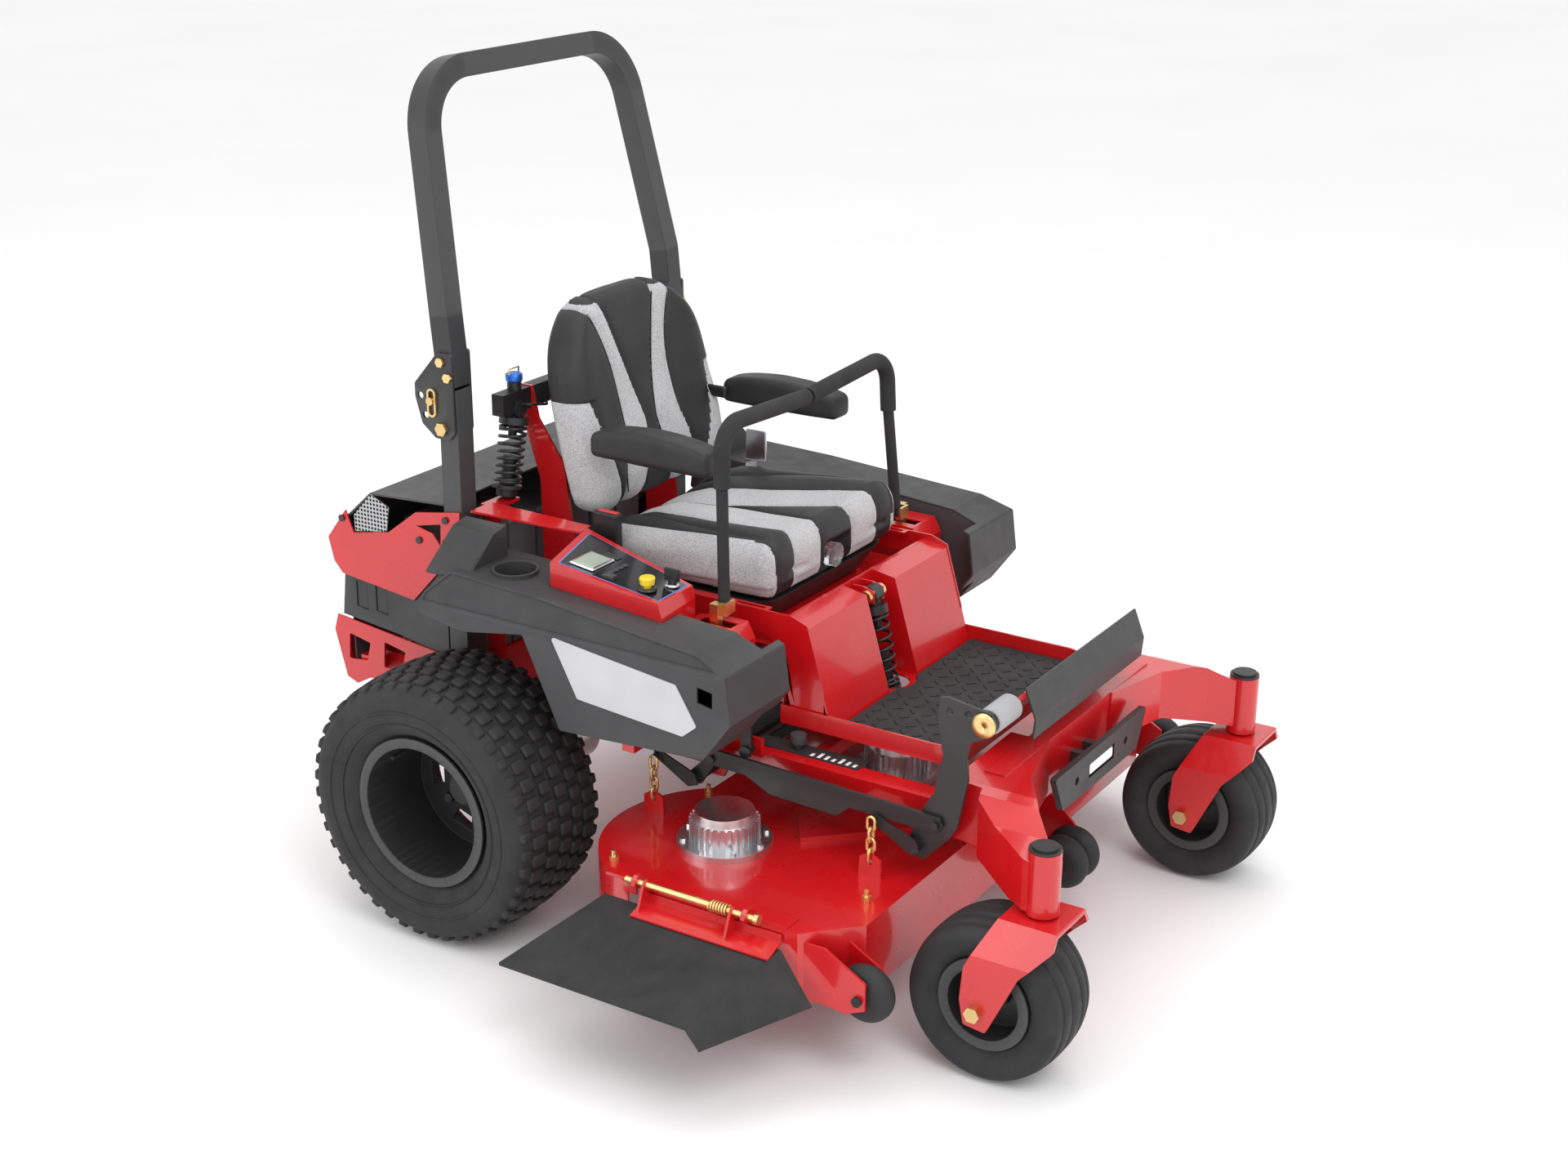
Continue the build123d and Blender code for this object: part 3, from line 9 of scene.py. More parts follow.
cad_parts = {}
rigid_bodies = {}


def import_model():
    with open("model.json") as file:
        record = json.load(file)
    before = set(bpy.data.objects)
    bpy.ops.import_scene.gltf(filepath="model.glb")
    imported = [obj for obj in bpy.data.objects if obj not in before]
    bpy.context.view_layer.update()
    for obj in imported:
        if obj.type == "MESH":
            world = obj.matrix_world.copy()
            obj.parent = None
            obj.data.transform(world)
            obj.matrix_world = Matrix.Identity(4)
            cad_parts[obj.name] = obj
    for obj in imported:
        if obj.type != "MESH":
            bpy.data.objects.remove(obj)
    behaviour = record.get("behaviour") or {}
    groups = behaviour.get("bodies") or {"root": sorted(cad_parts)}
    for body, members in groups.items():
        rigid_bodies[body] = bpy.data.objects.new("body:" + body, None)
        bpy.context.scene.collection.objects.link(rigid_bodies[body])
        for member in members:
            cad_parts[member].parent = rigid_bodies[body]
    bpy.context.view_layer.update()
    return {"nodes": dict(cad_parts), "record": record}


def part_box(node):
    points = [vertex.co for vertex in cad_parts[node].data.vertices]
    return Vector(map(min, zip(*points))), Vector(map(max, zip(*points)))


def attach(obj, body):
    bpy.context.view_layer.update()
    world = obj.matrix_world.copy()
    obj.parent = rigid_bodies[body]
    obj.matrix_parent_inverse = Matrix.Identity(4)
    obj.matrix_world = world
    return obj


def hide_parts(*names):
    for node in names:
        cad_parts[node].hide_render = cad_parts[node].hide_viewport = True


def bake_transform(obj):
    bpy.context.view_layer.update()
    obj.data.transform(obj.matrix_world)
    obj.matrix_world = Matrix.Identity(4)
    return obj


for item in list(bpy.data.objects):
    bpy.data.objects.remove(item)
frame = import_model()
NODES = frame["nodes"]

# The frame's own zero is the rear axle, midway between the drive tyres, on the ground
right_low, right_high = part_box("rear_tyre_right")
left_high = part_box("rear_tyre_left")[1]
AXLE = Vector(((right_low.x + left_high.x) / 2, (right_low.y + right_high.y) / 2, 0))
MM = 0.001
CHASSIS = "chassis"

# Main places and sizes, in machine millimetres about the rear axle
REAR_X, REAR_R = 615, 305
CASTER_X, CASTER_Y, CASTER_R = 504, -1270, 170
TREAD_PITCHES = 44
SHOCK_X, SHOCK_Y = 240, 100
CUSHION_BASE, CUSHION_THICK, CUSHION_BACK, CUSHION_LONG = 750, 88, -102, 454
BACK_BASE, BACK_TALL = 856, 446
BACK_FOOT, BACK_LEAN = -86, 92          # y of the backrest's middle at its foot, and its lean to the top
PEDAL = (-1183, 688)                    # y and z of the lift pedal's bar
CONSOLE_FRONT, CONSOLE_FRONT_Z = -478, 816.8
CONSOLE_REAR, CONSOLE_REAR_Z = -140, 860.5
MAT_TOP = 527
DECK_PLATE = 481.05                     # top of the cutting-height plate


def at(x, y, z):
    """Machine millimetres (about the rear axle) to the shared frame's metres."""
    return Vector((x * MM, y * MM, z * MM)) + AXLE


# ---- materials -----------------------------------------------------------------------------------
class Nodes:
    """Small helper for building a material's node tree."""

    def __init__(self, name, colour, rough, metal=0.0, coat=0.0, edge=0.0):
        self.mat = bpy.data.materials.new(name)
        self.mat.use_nodes = True
        self.tree = self.mat.node_tree
        self.shader = self.tree.nodes["Principled BSDF"]
        self.set(self.shader, "Base Color", (*colour, 1))
        self.set(self.shader, "Roughness", rough)
        self.set(self.shader, "Metallic", metal)
        self.set(self.shader, "Coat Weight", coat)
        self.set(self.shader, "Coat Roughness", 0.08)
        self.where = self.add("ShaderNodeTexCoord").outputs["Object"]
        self.normal = None
        if edge:
            bevel = self.add("ShaderNodeBevel", samples=4)
            self.set(bevel, "Radius", edge)
            self.normal = bevel.outputs[0]
            self.link(self.normal, self.shader.inputs["Normal"])

    def add(self, kind, **props):
        node = self.tree.nodes.new(kind)
        for key, value in props.items():
            setattr(node, key, value)
        return node

    def set(self, node, socket, value):
        node.inputs[socket].default_value = value

    def link(self, a, b):
        self.tree.links.new(a, b)

    def noise(self, scale, detail=3.0, rough=0.5):
        tex = self.add("ShaderNodeTexNoise")
        self.set(tex, "Scale", scale)
        self.set(tex, "Detail", detail)
        self.set(tex, "Roughness", rough)
        self.link(self.where, tex.inputs["Vector"])
        return tex.outputs["Fac"]

    def ramp(self, fac, stops):
        node = self.add("ShaderNodeValToRGB")
        ramp = node.color_ramp
        while len(ramp.elements) < len(stops):
            ramp.elements.new(0.5)
        for element, (place, colour) in zip(ramp.elements, stops):
            element.position = place
            element.color = (*colour, 1) if len(colour) == 3 else colour
        self.link(fac, node.inputs["Fac"])
        return node.outputs["Color"]

    def span(self, fac, low, high):
        node = self.add("ShaderNodeMapRange")
        self.set(node, "From Min", 0.3)
        self.set(node, "From Max", 0.7)
        self.set(node, "To Min", low)
        self.set(node, "To Max", high)
        self.link(fac, node.inputs["Value"])
        return node.outputs["Result"]

    def bump(self, height, strength, distance):
        node = self.add("ShaderNodeBump")
        self.set(node, "Strength", strength)
        self.set(node, "Distance", distance)
        self.link(height, node.inputs["Height"])
        if self.normal:
            self.link(self.normal, node.inputs["Normal"])
        self.normal = node.outputs["Normal"]
        self.link(self.normal, self.shader.inputs["Normal"])

    def mix(self, fac, a, b, kind="MIX"):
        node = self.add("ShaderNodeMix", data_type="RGBA", blend_type=kind)
        for value, socket in ((fac, node.inputs[0]), (a, node.inputs[6]), (b, node.inputs[7])):
            if isinstance(value, (int, float)):
                socket.default_value = value
            elif isinstance(value, tuple):
                socket.default_value = (*value, 1)
            else:
                self.link(value, socket)
        return node.outputs[2]

    def colour(self, output):
        self.link(output, self.shader.inputs["Base Color"])

    def roughness(self, output):
        self.link(output, self.shader.inputs["Roughness"])


def grained(name, colour, rough, grain, depth, metal=0.0, coat=0.0, edge=0.0012, vary=0.12, convex_edge_colour=None):
    """Paint, plastic, rubber or metal: base colour that wanders a little, fine grain, and convex edges drawn
    in a lighter colour when one is given.
    """
    n = Nodes(name, colour, rough, metal, coat, edge)
    cloud = n.noise(7.0, 4.0)
    dark = tuple(c * (1 - vary) for c in colour)
    light = tuple(min(1.0, c * (1 + vary)) for c in colour)
    base = n.ramp(cloud, [(0.3, dark), (0.7, light)])
    if convex_edge_colour:
        # convex edges, found by pointiness, take the lighter colour given
        point = n.add("ShaderNodeNewGeometry").outputs["Pointiness"]
        edges = n.ramp(point, [(0.52, (0, 0, 0)), (0.62, (1, 1, 1))])
        base = n.mix(edges, base, convex_edge_colour)
    n.colour(base)
    n.roughness(n.span(n.noise(23.0, 4.0), rough * 0.88, min(1.0, rough * 1.14)))
    n.bump(n.noise(grain, 2.0), depth, 0.0004)
    return n


RED = grained("red_paint", (0.57, 0.005, 0.008), 0.30, 260, 0.05, coat=0.7, edge=0.0016, vary=0.06).mat
CHARCOAL = grained("charcoal_plastic", (0.030, 0.030, 0.032), 0.58, 900, 0.55, edge=0.003,
                   convex_edge_colour=(0.06, 0.06, 0.063)).mat
BLACK = grained("black_powder_coat", (0.013, 0.013, 0.014), 0.42, 700, 0.30, edge=0.0014,
                convex_edge_colour=(0.03, 0.03, 0.03)).mat
HOOP = grained("charcoal_steel", (0.024, 0.024, 0.026), 0.42, 600, 0.25, edge=0.004,
               convex_edge_colour=(0.05, 0.05, 0.05)).mat
RUBBER = grained("rubber", (0.018, 0.018, 0.019), 0.72, 500, 0.40, edge=0.0015, vary=0.22).mat
SILVER = grained("silver_panel", (0.56, 0.56, 0.57), 0.38, 320, 0.10, metal=0.35, vary=0.05).mat
ZINC = grained("yellow_zinc", (0.80, 0.58, 0.26), 0.34, 240, 0.20, metal=1.0, edge=0.0006, vary=0.20).mat
ALUMINIUM = grained("cast_aluminium", (0.72, 0.72, 0.74), 0.30, 160, 0.08, metal=1.0,
                    edge=0.0008, vary=0.08).mat
STEEL = grained("blade_steel", (0.45, 0.45, 0.47), 0.35, 300, 0.25, metal=1.0, edge=0.0006).mat
BLACK_RUBBER = grained("armrest_skin", (0.016, 0.016, 0.017), 0.55, 700, 0.4, edge=0.002,
                       vary=0.1).mat
FOAM = grained("foam_grip", (0.022, 0.022, 0.023), 0.92, 380, 0.9, edge=0, vary=0.2).mat
GREY_FOAM = grained("grey_foam", (0.36, 0.36, 0.37), 0.92, 420, 0.9, edge=0, vary=0.12).mat
YELLOW = grained("yellow_plastic", (0.85, 0.62, 0.02), 0.35, 300, 0.1, coat=0.3, edge=0.001).mat
BLUE = grained("blue_cap", (0.03, 0.16, 0.62), 0.35, 300, 0.1, metal=0.6, edge=0.001).mat
PACK = grained("battery_case", (0.12, 0.12, 0.13), 0.5, 500, 0.4, edge=0.003).mat
WHITE = grained("white_print", (0.82, 0.82, 0.82), 0.5, 500, 0.05, edge=0).mat
PRINT_BLUE = grained("blue_print", (0.05, 0.30, 0.75), 0.4, 500, 0.05, edge=0).mat
GLOSS_BLACK = grained("gloss_black", (0.010, 0.010, 0.012), 0.16, 200, 0.02, coat=0.5, edge=0.0006).mat
BUTTON_RED = grained("button_red", (0.65, 0.03, 0.03), 0.35, 300, 0.05, edge=0.0005).mat
CHROME = grained("satin_chrome", (0.80, 0.80, 0.82), 0.22, 300, 0.05, metal=1.0, edge=0.0006).mat
SCREEN = grained("display", (0.36, 0.42, 0.34), 0.15, 200, 0.01, coat=0.6, edge=0, vary=0.03).mat


def speckled():
    """Light grey seat cloth: flecked yarns over a close weave."""
    n = Nodes("speckled_cloth", (0.50, 0.50, 0.51), 0.86)
    n.set(n.shader, "Sheen Weight", 0.25)
    fleck = n.ramp(n.noise(620, 2.0, 0.8), [(0.36, (0.16, 0.16, 0.17)), (0.47, (0.46, 0.46, 0.47)),
                                            (0.60, (0.60, 0.60, 0.61)), (0.72, (0.78, 0.78, 0.79))])
    shade = n.ramp(n.noise(9, 3.0), [(0.3, (0.88, 0.88, 0.88)), (0.7, (1, 1, 1))])
    n.colour(n.mix(1.0, fleck, shade, "MULTIPLY"))
    n.bump(n.noise(900, 2.0, 0.7), 0.55, 0.0006)
    return n.mat


def vinyl():
    """Black vinyl with a fine woven emboss."""
    n = Nodes("black_vinyl", (0.014, 0.014, 0.015), 0.50)
    n.set(n.shader, "Specular IOR Level", 0.45)
    waves = []
    for direction in ("X", "Z"):
        wave = n.add("ShaderNodeTexWave", bands_direction=direction)
        n.set(wave, "Scale", 130.0)
        n.set(wave, "Distortion", 0.6)
        n.link(n.where, wave.inputs["Vector"])
        waves.append(wave.outputs["Fac"])
    weave = n.mix(0.5, waves[0], waves[1], "MULTIPLY")
    n.colour(n.ramp(n.noise(11, 4.0), [(0.3, (0.010, 0.010, 0.011)), (0.7, (0.019, 0.019, 0.020))]))
    n.bump(weave, 0.5, 0.0005)
    n.bump(n.noise(60, 4.0), 0.12, 0.0015)
    return n.mat


def perforated(name, colour, pitch, metal):
    """Sheet with a close grid of round holes, drawn near-black as painted shade in the openings and sunk by
    bump.
    """
    n = Nodes(name, colour, 0.4, metal)
    cells = n.add("ShaderNodeTexVoronoi", feature="F1", distance="EUCLIDEAN")
    n.set(cells, "Scale", 1 / pitch)
    n.set(cells, "Randomness", 0.0)
    n.link(n.where, cells.inputs["Vector"])
    hole = n.ramp(cells.outputs["Distance"], [(0.30, (0, 0, 0)), (0.38, (1, 1, 1))])
    # painted shade: each hole is coloured near-black for the shadow seen through the opening
    n.colour(n.mix(hole, (0.006, 0.006, 0.007), colour))
    n.bump(hole, 0.8, 0.0015)
    return n.mat


def clear():
    n = Nodes("clear_plastic", (0.93, 0.95, 0.96), 0.08)
    n.set(n.shader, "Transmission Weight", 0.92)
    n.set(n.shader, "IOR", 1.45)
    n.bump(n.noise(80, 2.0), 0.06, 0.001)
    return n.mat


def lamp():
    n = Nodes("lamp_lens", (0.92, 0.93, 0.95), 0.12, coat=0.5)
    n.set(n.shader, "Emission Color", (1, 1, 1, 1))
    n.set(n.shader, "Emission Strength", 0.35)
    n.bump(n.noise(300, 2.0), 0.2, 0.0008)
    return n.mat


CLOTH, VINYL, CLEAR, LENS = speckled(), vinyl(), clear(), lamp()
MESH_BLACK = perforated("black_mesh", (0.030, 0.030, 0.032), 0.0085, 0.2)
MESH_SILVER = perforated("silver_mesh", (0.50, 0.50, 0.51), 0.0095, 0.6)

FINISH = {
    "red": RED, "charcoal": CHARCOAL, "black_steel": BLACK, "tyre": RUBBER, "silver_panel": SILVER,
    "zinc_gold": ZINC, "aluminium": ALUMINIUM, "upholstery": VINYL, "clear": CLEAR, "blade_steel": STEEL,
    "yellow": YELLOW, "rubber": RUBBER, "battery": PACK,
}
for part in frame["record"]["subparts"]:
    node = NODES[part["node"]]
    node.data.materials.clear()
    node.data.materials.append(FINISH[part["material_slot"]])
for name in ("rops_hoop", "rops_posts", "rear_rim_right", "rear_rim_left", "caster_rim_right",
             "caster_rim_left"):
    NODES[name].data.materials[0] = HOOP
for name in ("control_lever_right", "control_lever_left"):
    NODES[name].data.materials[0] = FOAM


def islands(obj):
    """Each loose part of a mesh as (polygon numbers, low corner, high corner) in machine millimetres."""
    mesh = obj.data
    parent = {}

    def find(a):
        while parent[a] != a:
            parent[a] = parent[parent[a]]
            a = parent[a]
        return a

    keys = [tuple(round(c * 20000) for c in v.co) for v in mesh.vertices]
    for key in keys:
        parent.setdefault(key, key)
    for poly in mesh.polygons:
        first = find(keys[poly.vertices[0]])
        for vert in poly.vertices[1:]:
            parent[find(keys[vert])] = first
    groups = {}
    for poly in mesh.polygons:
        groups.setdefault(find(keys[poly.vertices[0]]), []).append(poly)
    found = []
    for polys in groups.values():
        points = [(mesh.vertices[v].co - AXLE) / MM for poly in polys for v in poly.vertices]
        low = Vector(min(p[i] for p in points) for i in range(3))
        high = Vector(max(p[i] for p in points) for i in range(3))
        found.append((polys, low, high))
    return found


def paint_parts(node, rule):
    """Gives each loose part of a CAD node the material that rule(low, high) returns, if any."""
    obj = NODES[node]
    for polys, low, high in islands(obj):
        mat = rule(low, high)
        if mat is None:
            continue
        if mat.name not in obj.data.materials:
            obj.data.materials.append(mat)
        index = obj.data.materials.find(mat.name)
        for poly in polys:
            poly.material_index = index


def axle_bolt(low, high):
    return ZINC if high.z - low.z < 50 else None


def hoop_bolt(low, high):
    return ZINC if high.z - low.z < 34 and abs(low.x) > 355 and low.z > 1000 else None


def front_eye_pin(low, high):
    small = high.x - low.x < 75 and high.z - low.z < 32
    return ZINC if small and abs(low.x + high.x) < 8 else None


for word in ("right", "left"):
    paint_parts(f"caster_fork_{word}", axle_bolt)
paint_parts("chassis_fittings", hoop_bolt)
paint_parts("shock_rods", front_eye_pin)
paint_parts("discharge_chute", lambda low, high: RED if high.z > 300 else None)
paint_parts("seat_belt", lambda low, high: CHROME if low.x > 0 else None)


# ---- mesh building -------------------------------------------------------------------------------
def piece(name, verts, faces, mats, body, paint=None, smooth=True):
    """A mesh object from points in metres, painted, and riding on a CAD body."""
    mesh = bpy.data.meshes.new(name)
    mesh.from_pydata([tuple(v) for v in verts], [], faces)
    for mat in mats:
        mesh.materials.append(mat)
    if paint:
        for poly in mesh.polygons:
            poly.material_index = paint(poly)
    if smooth:
        mesh.polygons.foreach_set("use_smooth", [True] * len(mesh.polygons))
    obj = bpy.data.objects.new(name, mesh)
    bpy.context.scene.collection.objects.link(obj)
    fixed = bmesh.new()
    fixed.from_mesh(mesh)
    bmesh.ops.recalc_face_normals(fixed, faces=fixed.faces)
    fixed.to_mesh(mesh)
    fixed.free()
    if body:
        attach(obj, body)
    return obj


def rounded(low, high, radius, step, move=None):
    """Points and faces of a box with round edges, gridded finely enough to be shaped by move(p, n)."""
    size = [h - l for l, h in zip(low, high)]
    count = [max(2, math.ceil(s / step)) for s in size]
    index, verts, faces = {}, [], []

    def vert(cell):
        if cell not in index:
            p = Vector(low[i] + size[i] * cell[i] / count[i] for i in range(3))
            r = [min(radius, size[i] / 2) for i in range(3)]
            core = Vector(min(max(p[i], low[i] + r[i]), high[i] - r[i]) for i in range(3))
            out = p - core
            n = Vector(out[i] / r[i] for i in range(3)).normalized()
            p = core + Vector(n[i] * r[i] for i in range(3))
            index[cell] = len(verts)
            verts.append(move(p, n) if move else p)
        return index[cell]

    for axis in range(3):
        u, v = [i for i in range(3) if i != axis]
        for end in (0, count[axis]):
            for i in range(count[u]):
                for j in range(count[v]):
                    quad = []
                    for a, b in ((i, j), (i + 1, j), (i + 1, j + 1), (i, j + 1)):
                        cell = [0, 0, 0]
                        cell[axis], cell[u], cell[v] = end, a, b
                        quad.append(vert(tuple(cell)))
                    faces.append(quad)
    return verts, faces


def box_piece(name, low, high, radius, step, mat, body, move=None):
    """A rounded box given in machine millimetres."""
    verts, faces = rounded(low, high, radius, step, move)
    return piece(name, [at(*v) for v in verts], faces, [mat], body)


def turned(profile, centre, count, axis="x"):
    """Points and faces of a closed ring: a (side, radius) outline turned about an axle along X."""
    verts, faces = [], []
    size = len(profile)
    for i in range(count):
        angle = 2 * math.pi * i / count
        for side, radius in profile:
            if axis == "x":
                verts.append(Vector((centre[0] + side, centre[1] + radius * math.cos(angle),
                                     centre[2] + radius * math.sin(angle))))
            else:
                verts.append(Vector((centre[0] + radius * math.cos(angle),
                                     centre[1] + radius * math.sin(angle), centre[2] + side)))
    for i in range(count):
        for j in range(size):
            a, b = i * size + j, i * size + (j + 1) % size
            c, d = ((i + 1) % count) * size + (j + 1) % size, ((i + 1) % count) * size + j
            faces.append([a, b, c, d])
    return verts, faces


def rod_piece(name, points, radius, mat, body, kind="POLY", cyclic=False):
    """A round wire or tube through points in machine millimetres, turned into a mesh."""
    curve = bpy.data.curves.new(name, "CURVE")
    curve.dimensions = "3D"
    curve.bevel_depth = radius * MM
    curve.bevel_resolution = 4
    curve.use_fill_caps = True
    spline = curve.splines.new(kind)
    spline.points.add(len(points) - 1)
    for spot, p in zip(spline.points, points):
        spot.co = (*at(*p), 1)
    spline.use_cyclic_u = cyclic
    if kind == "NURBS":
        spline.order_u = 4
        spline.use_endpoint_u = True
    holder = bpy.data.objects.new(name + "_path", curve)
    bpy.context.scene.collection.objects.link(holder)
    bpy.context.view_layer.update()
    mesh = bpy.data.meshes.new_from_object(holder)
    bpy.data.objects.remove(holder)
    mesh.name = name
    mesh.materials.clear()
    mesh.materials.append(mat)
    mesh.polygons.foreach_set("use_smooth", [True] * len(mesh.polygons))
    obj = bpy.data.objects.new(name, mesh)
    bpy.context.scene.collection.objects.link(obj)
    if body:
        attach(obj, body)
    return obj


def join_meshes(sets):
    """One list of points and faces from several."""
    verts, faces = [], []
    for more_verts, more_faces in sets:
        start = len(verts)
        verts += more_verts
        faces += [[i + start for i in face] for face in more_faces]
    return verts, faces


# ---- tyres ---------------------------------------------------------------------------------------
TREAD_ROWS = ((0, 34, 27), (42, 32, 27), (-42, 32, 27), (84, 36, 28), (-84, 36, 28))
RIBS = [(-55, 165), (-54, 163), (-50, 163), (-49, 166.5), (-24, 169), (-23, 167), (-19, 167),
        (-18, 169.4), (18, 169.4), (19, 167), (23, 167), (24, 169), (49, 166.5), (50, 163),
        (54, 163), (55, 165)]


def lug(angle, x, wide, long, low, high, centre, slope=0.0):
    """One tread block, standing on the carcass at an angle round the tyre."""
    verts, faces = rounded((-wide / 2, -long / 2, low), (wide / 2, long / 2, high), 3.2, 7.0)
    turn = Matrix.Rotation(angle, 3, "X")
    placed = []
    for v in verts:
        lean = Vector((v.x + x, v.y + slope * v.x, v.z - abs(v.x + x) ** 2 * 0.0007))
        placed.append(turn @ lean + Vector(centre))
    return placed, faces


for side, word in ((-1, "right"), (1, "left")):
    centre = (side * REAR_X, 0, REAR_R)
    wall = [(105, 172), (118, 182), (130, 200), (138, 226), (141, 248), (137, 268), (126, 282), (108, 289)]
    outline = [(-x, r) for x, r in wall] + [(-60, 292), (0, 293.5), (60, 292)] + wall[::-1]
    outline += [(104, 157), (92, 160), (-92, 160), (-104, 157)]
    sets = [turned(outline, centre, 120)]
    for ring in (206, 236):
        x = 133.5 if ring == 206 else 140.5
        band = [(x - 3, ring - 3), (x + 1.2, ring - 2), (x + 1.2, ring + 2), (x - 3, ring + 3)]
        sets += [turned(band, centre, 120), turned([(-a, b) for a, b in band], centre, 120)]
    half = math.pi / TREAD_PITCHES
    for i in range(TREAD_PITCHES):
        base = 2 * half * i
        for row, (x, wide, long) in enumerate(TREAD_ROWS):
            sets.append(lug(base + half * (row in (1, 2)), x, wide, long, 286, 304.2, centre))
        for end in (-1, 1):
            sets.append(lug(base + half, end * 117, 22, 22, 278, 303, centre))
    verts, faces = join_meshes(sets)
    tyre = piece(f"turf_tyre_{word}", [at(*v) for v in verts], faces, [RUBBER],
                 f"rear_wheel_{word}")
    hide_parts(f"rear_tyre_{word}")
    centre = (side * CASTER_X, CASTER_Y, CASTER_R)
    wall = [(61, 99), (70, 106), (79, 120), (82.5, 134), (80, 149), (72, 160)]
    outline = [(-x, r) for x, r in wall] + RIBS + wall[::-1]
    outline += [(60, 85), (50, 88), (-50, 88), (-60, 85)]
    verts, faces = turned(outline, centre, 96)
    tyre = piece(f"ribbed_tyre_{word}", [at(*v) for v in verts], faces, [RUBBER],
                 f"caster_wheel_{word}")
    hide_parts(f"caster_tyre_{word}")

def prism(outline, x0, x1):
    """Points and faces of a flat plate: a (y, z) outline between two x planes."""
    count = len(outline)
    faces = [list(range(count)), list(range(count, 2 * count))[::-1]]
    faces += [[i, i + count, (i + 1) % count + count, (i + 1) % count] for i in range(count)]
    return [at(x, y, z) for x in (x0, x1) for y, z in outline], faces


# ---- springs -------------------------------------------------------------------------------------
def spring(name, base, eye, low, high, radius, wire, turns):
    start = Vector(base).lerp(Vector(eye), low)
    axis = Vector(eye) - Vector(base)
    length = axis.length * (high - low)
    axis.normalize()
    across = axis.cross(Vector((0, 1, 0))).normalized()
    other = axis.cross(across)
    steps = turns * 20
    points = []
    for i in range(steps + 1):
        t = i / steps
        rise = min(max((t * turns - 0.8) / (turns - 1.6), 0), 1)
        a = 2 * math.pi * turns * t
        points.append(start + axis * (length * rise) + (across * math.cos(a) + other * math.sin(a)) * radius)
    obj = rod_piece(name, points, wire, BLACK, None)
    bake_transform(obj)
    return obj


front = spring("front_coil", (0, -731, 478.5), (0, -680, 714), 0.16, 0.79, 24, 3.5, 8)
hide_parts("front_spring")
coils = [spring(f"rear_coil_{word}", (s * 283, 100, 875.5), (s * 240, 100, 1067), 0.17, 0.78, 28, 3.8, 9)
         for s, word in ((-1, "right"), (1, "left"))]
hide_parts("rear_springs")

# ---- seat ----------------------------------------------------------------------------------------
def puff(distance, height, spread):
    """Padding height at a distance from the nearest seam, with the stitched groove at the seam."""
    return height * (1 - math.exp(-distance / spread)) - 3.2 * math.exp(-(distance / 3.5) ** 2)


def cushion_seams(x, y, z):
    """(panel, distance to the nearest seam): 0 black centre, 1 grey stripe, 2 black bolster, 3 side panel."""
    forward = min(max((-y - 120) / 470, 0), 1)
    wedge = 4 + 86 * max(0, forward - 0.35) ** 1.3 * 1.25
    stripe = 96 + 78 * forward ** 1.2
    side = 150 + 88 * math.sin(min(forward * 1.5, 1.57))
    x = abs(x)
    lines = (wedge, stripe, side)
    panel = sum(x > line for line in lines)
    return panel, min(abs(x - line) for line in lines)


def shape_cushion(p, n):
    t = (p.z - CUSHION_BASE) / CUSHION_THICK
    forward = min(max((CUSHION_BACK - p.y) / CUSHION_LONG, 0), 1)
    p = p.copy()
    p.z += max(t, 0) * 38 * forward ** 1.1
    panel, near = cushion_seams(p.x, p.y, p.z)
    if n.z > -0.3:
        bolster = 12 * math.exp(-((abs(p.x) - 205) / 48) ** 2)
        hollow = -10 * math.exp(-(p.x / 120) ** 2) * (1 - forward) ** 0.5 * max(n.z, 0)
        p += n * puff(near, 6.5, 16) + Vector((0, 0, max(n.z, 0))) * (bolster + hollow)
    if n.y < -0.5:
        recess = max(0, 1 - (p.x / 52) ** 4) * max(0, 1 - ((p.z - 786) / 42) ** 4)
        p.y += 46 * min(1, recess * 3)
        if recess <= 0:
            p.y += 7 * math.exp(-((p.z - 806) / 5) ** 2) * (130 < abs(p.x) < 200)
    p += n * noise.noise(p * 0.012) * 2.2
    p.z -= 26 * max(0, 1 - (-100 - p.y) / 90) * max(t, 0)
    p.y = max(p.y, -596)
    p.x = min(max(p.x, -272), 272)
    return p


def paint_by(seams):
    def rule(poly):
        c = (poly.center - AXLE) / MM
        return seams(c)
    return rule


def cushion_paint(c):
    if c.z < 762:
        return 0
    panel, _ = cushion_seams(c.x, c.y, c.z)
    if panel == 3 and c.z > 815 and abs(c.x) < 246:
        return 0
    return 1 if panel in (1, 3) else 0


verts, faces = rounded((-266, -588, 750), (266, -102, 838), 34, 4.5, shape_cushion)
seat = piece("seat_cushion_cover", [at(*v) for v in verts], faces, [VINYL, CLOTH], "seat",
             paint_by(cushion_paint))
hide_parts("seat_cushion")


def waist(u):
    """Half width of the backrest's black centre, pinched like an hourglass."""
    return 20 + 96 * abs(u - 0.36) ** 1.25 * 1.5


def stripe(u):
    """Outer edge of the grey stripe beside it."""
    return waist(u) + 70 + 22 * math.sin(u * 5.6 + 0.4)


def narrowing(u):
    """How the backrest draws in above its shoulders."""
    return 1.0 if u < 0.55 else math.sqrt(max(0.05, 1 - ((u - 0.55) / 0.45) ** 2.4 * 0.76))


def back_seams(x, z):
    """(panel, distance): 0 black centre, 1 grey stripe, 2 black bolster, 3 lower side panel."""
    u = (z - BACK_BASE) / BACK_TALL
    x = abs(x)
    lines = [waist(u), stripe(u)]
    if u < 0.56:
        lines.append(150 + 58 * math.sin(u * 2.8) + 60 * max(0, u - 0.4))
    panel = sum(x > line for line in lines)
    return panel, min(abs(x - line) for line in lines)


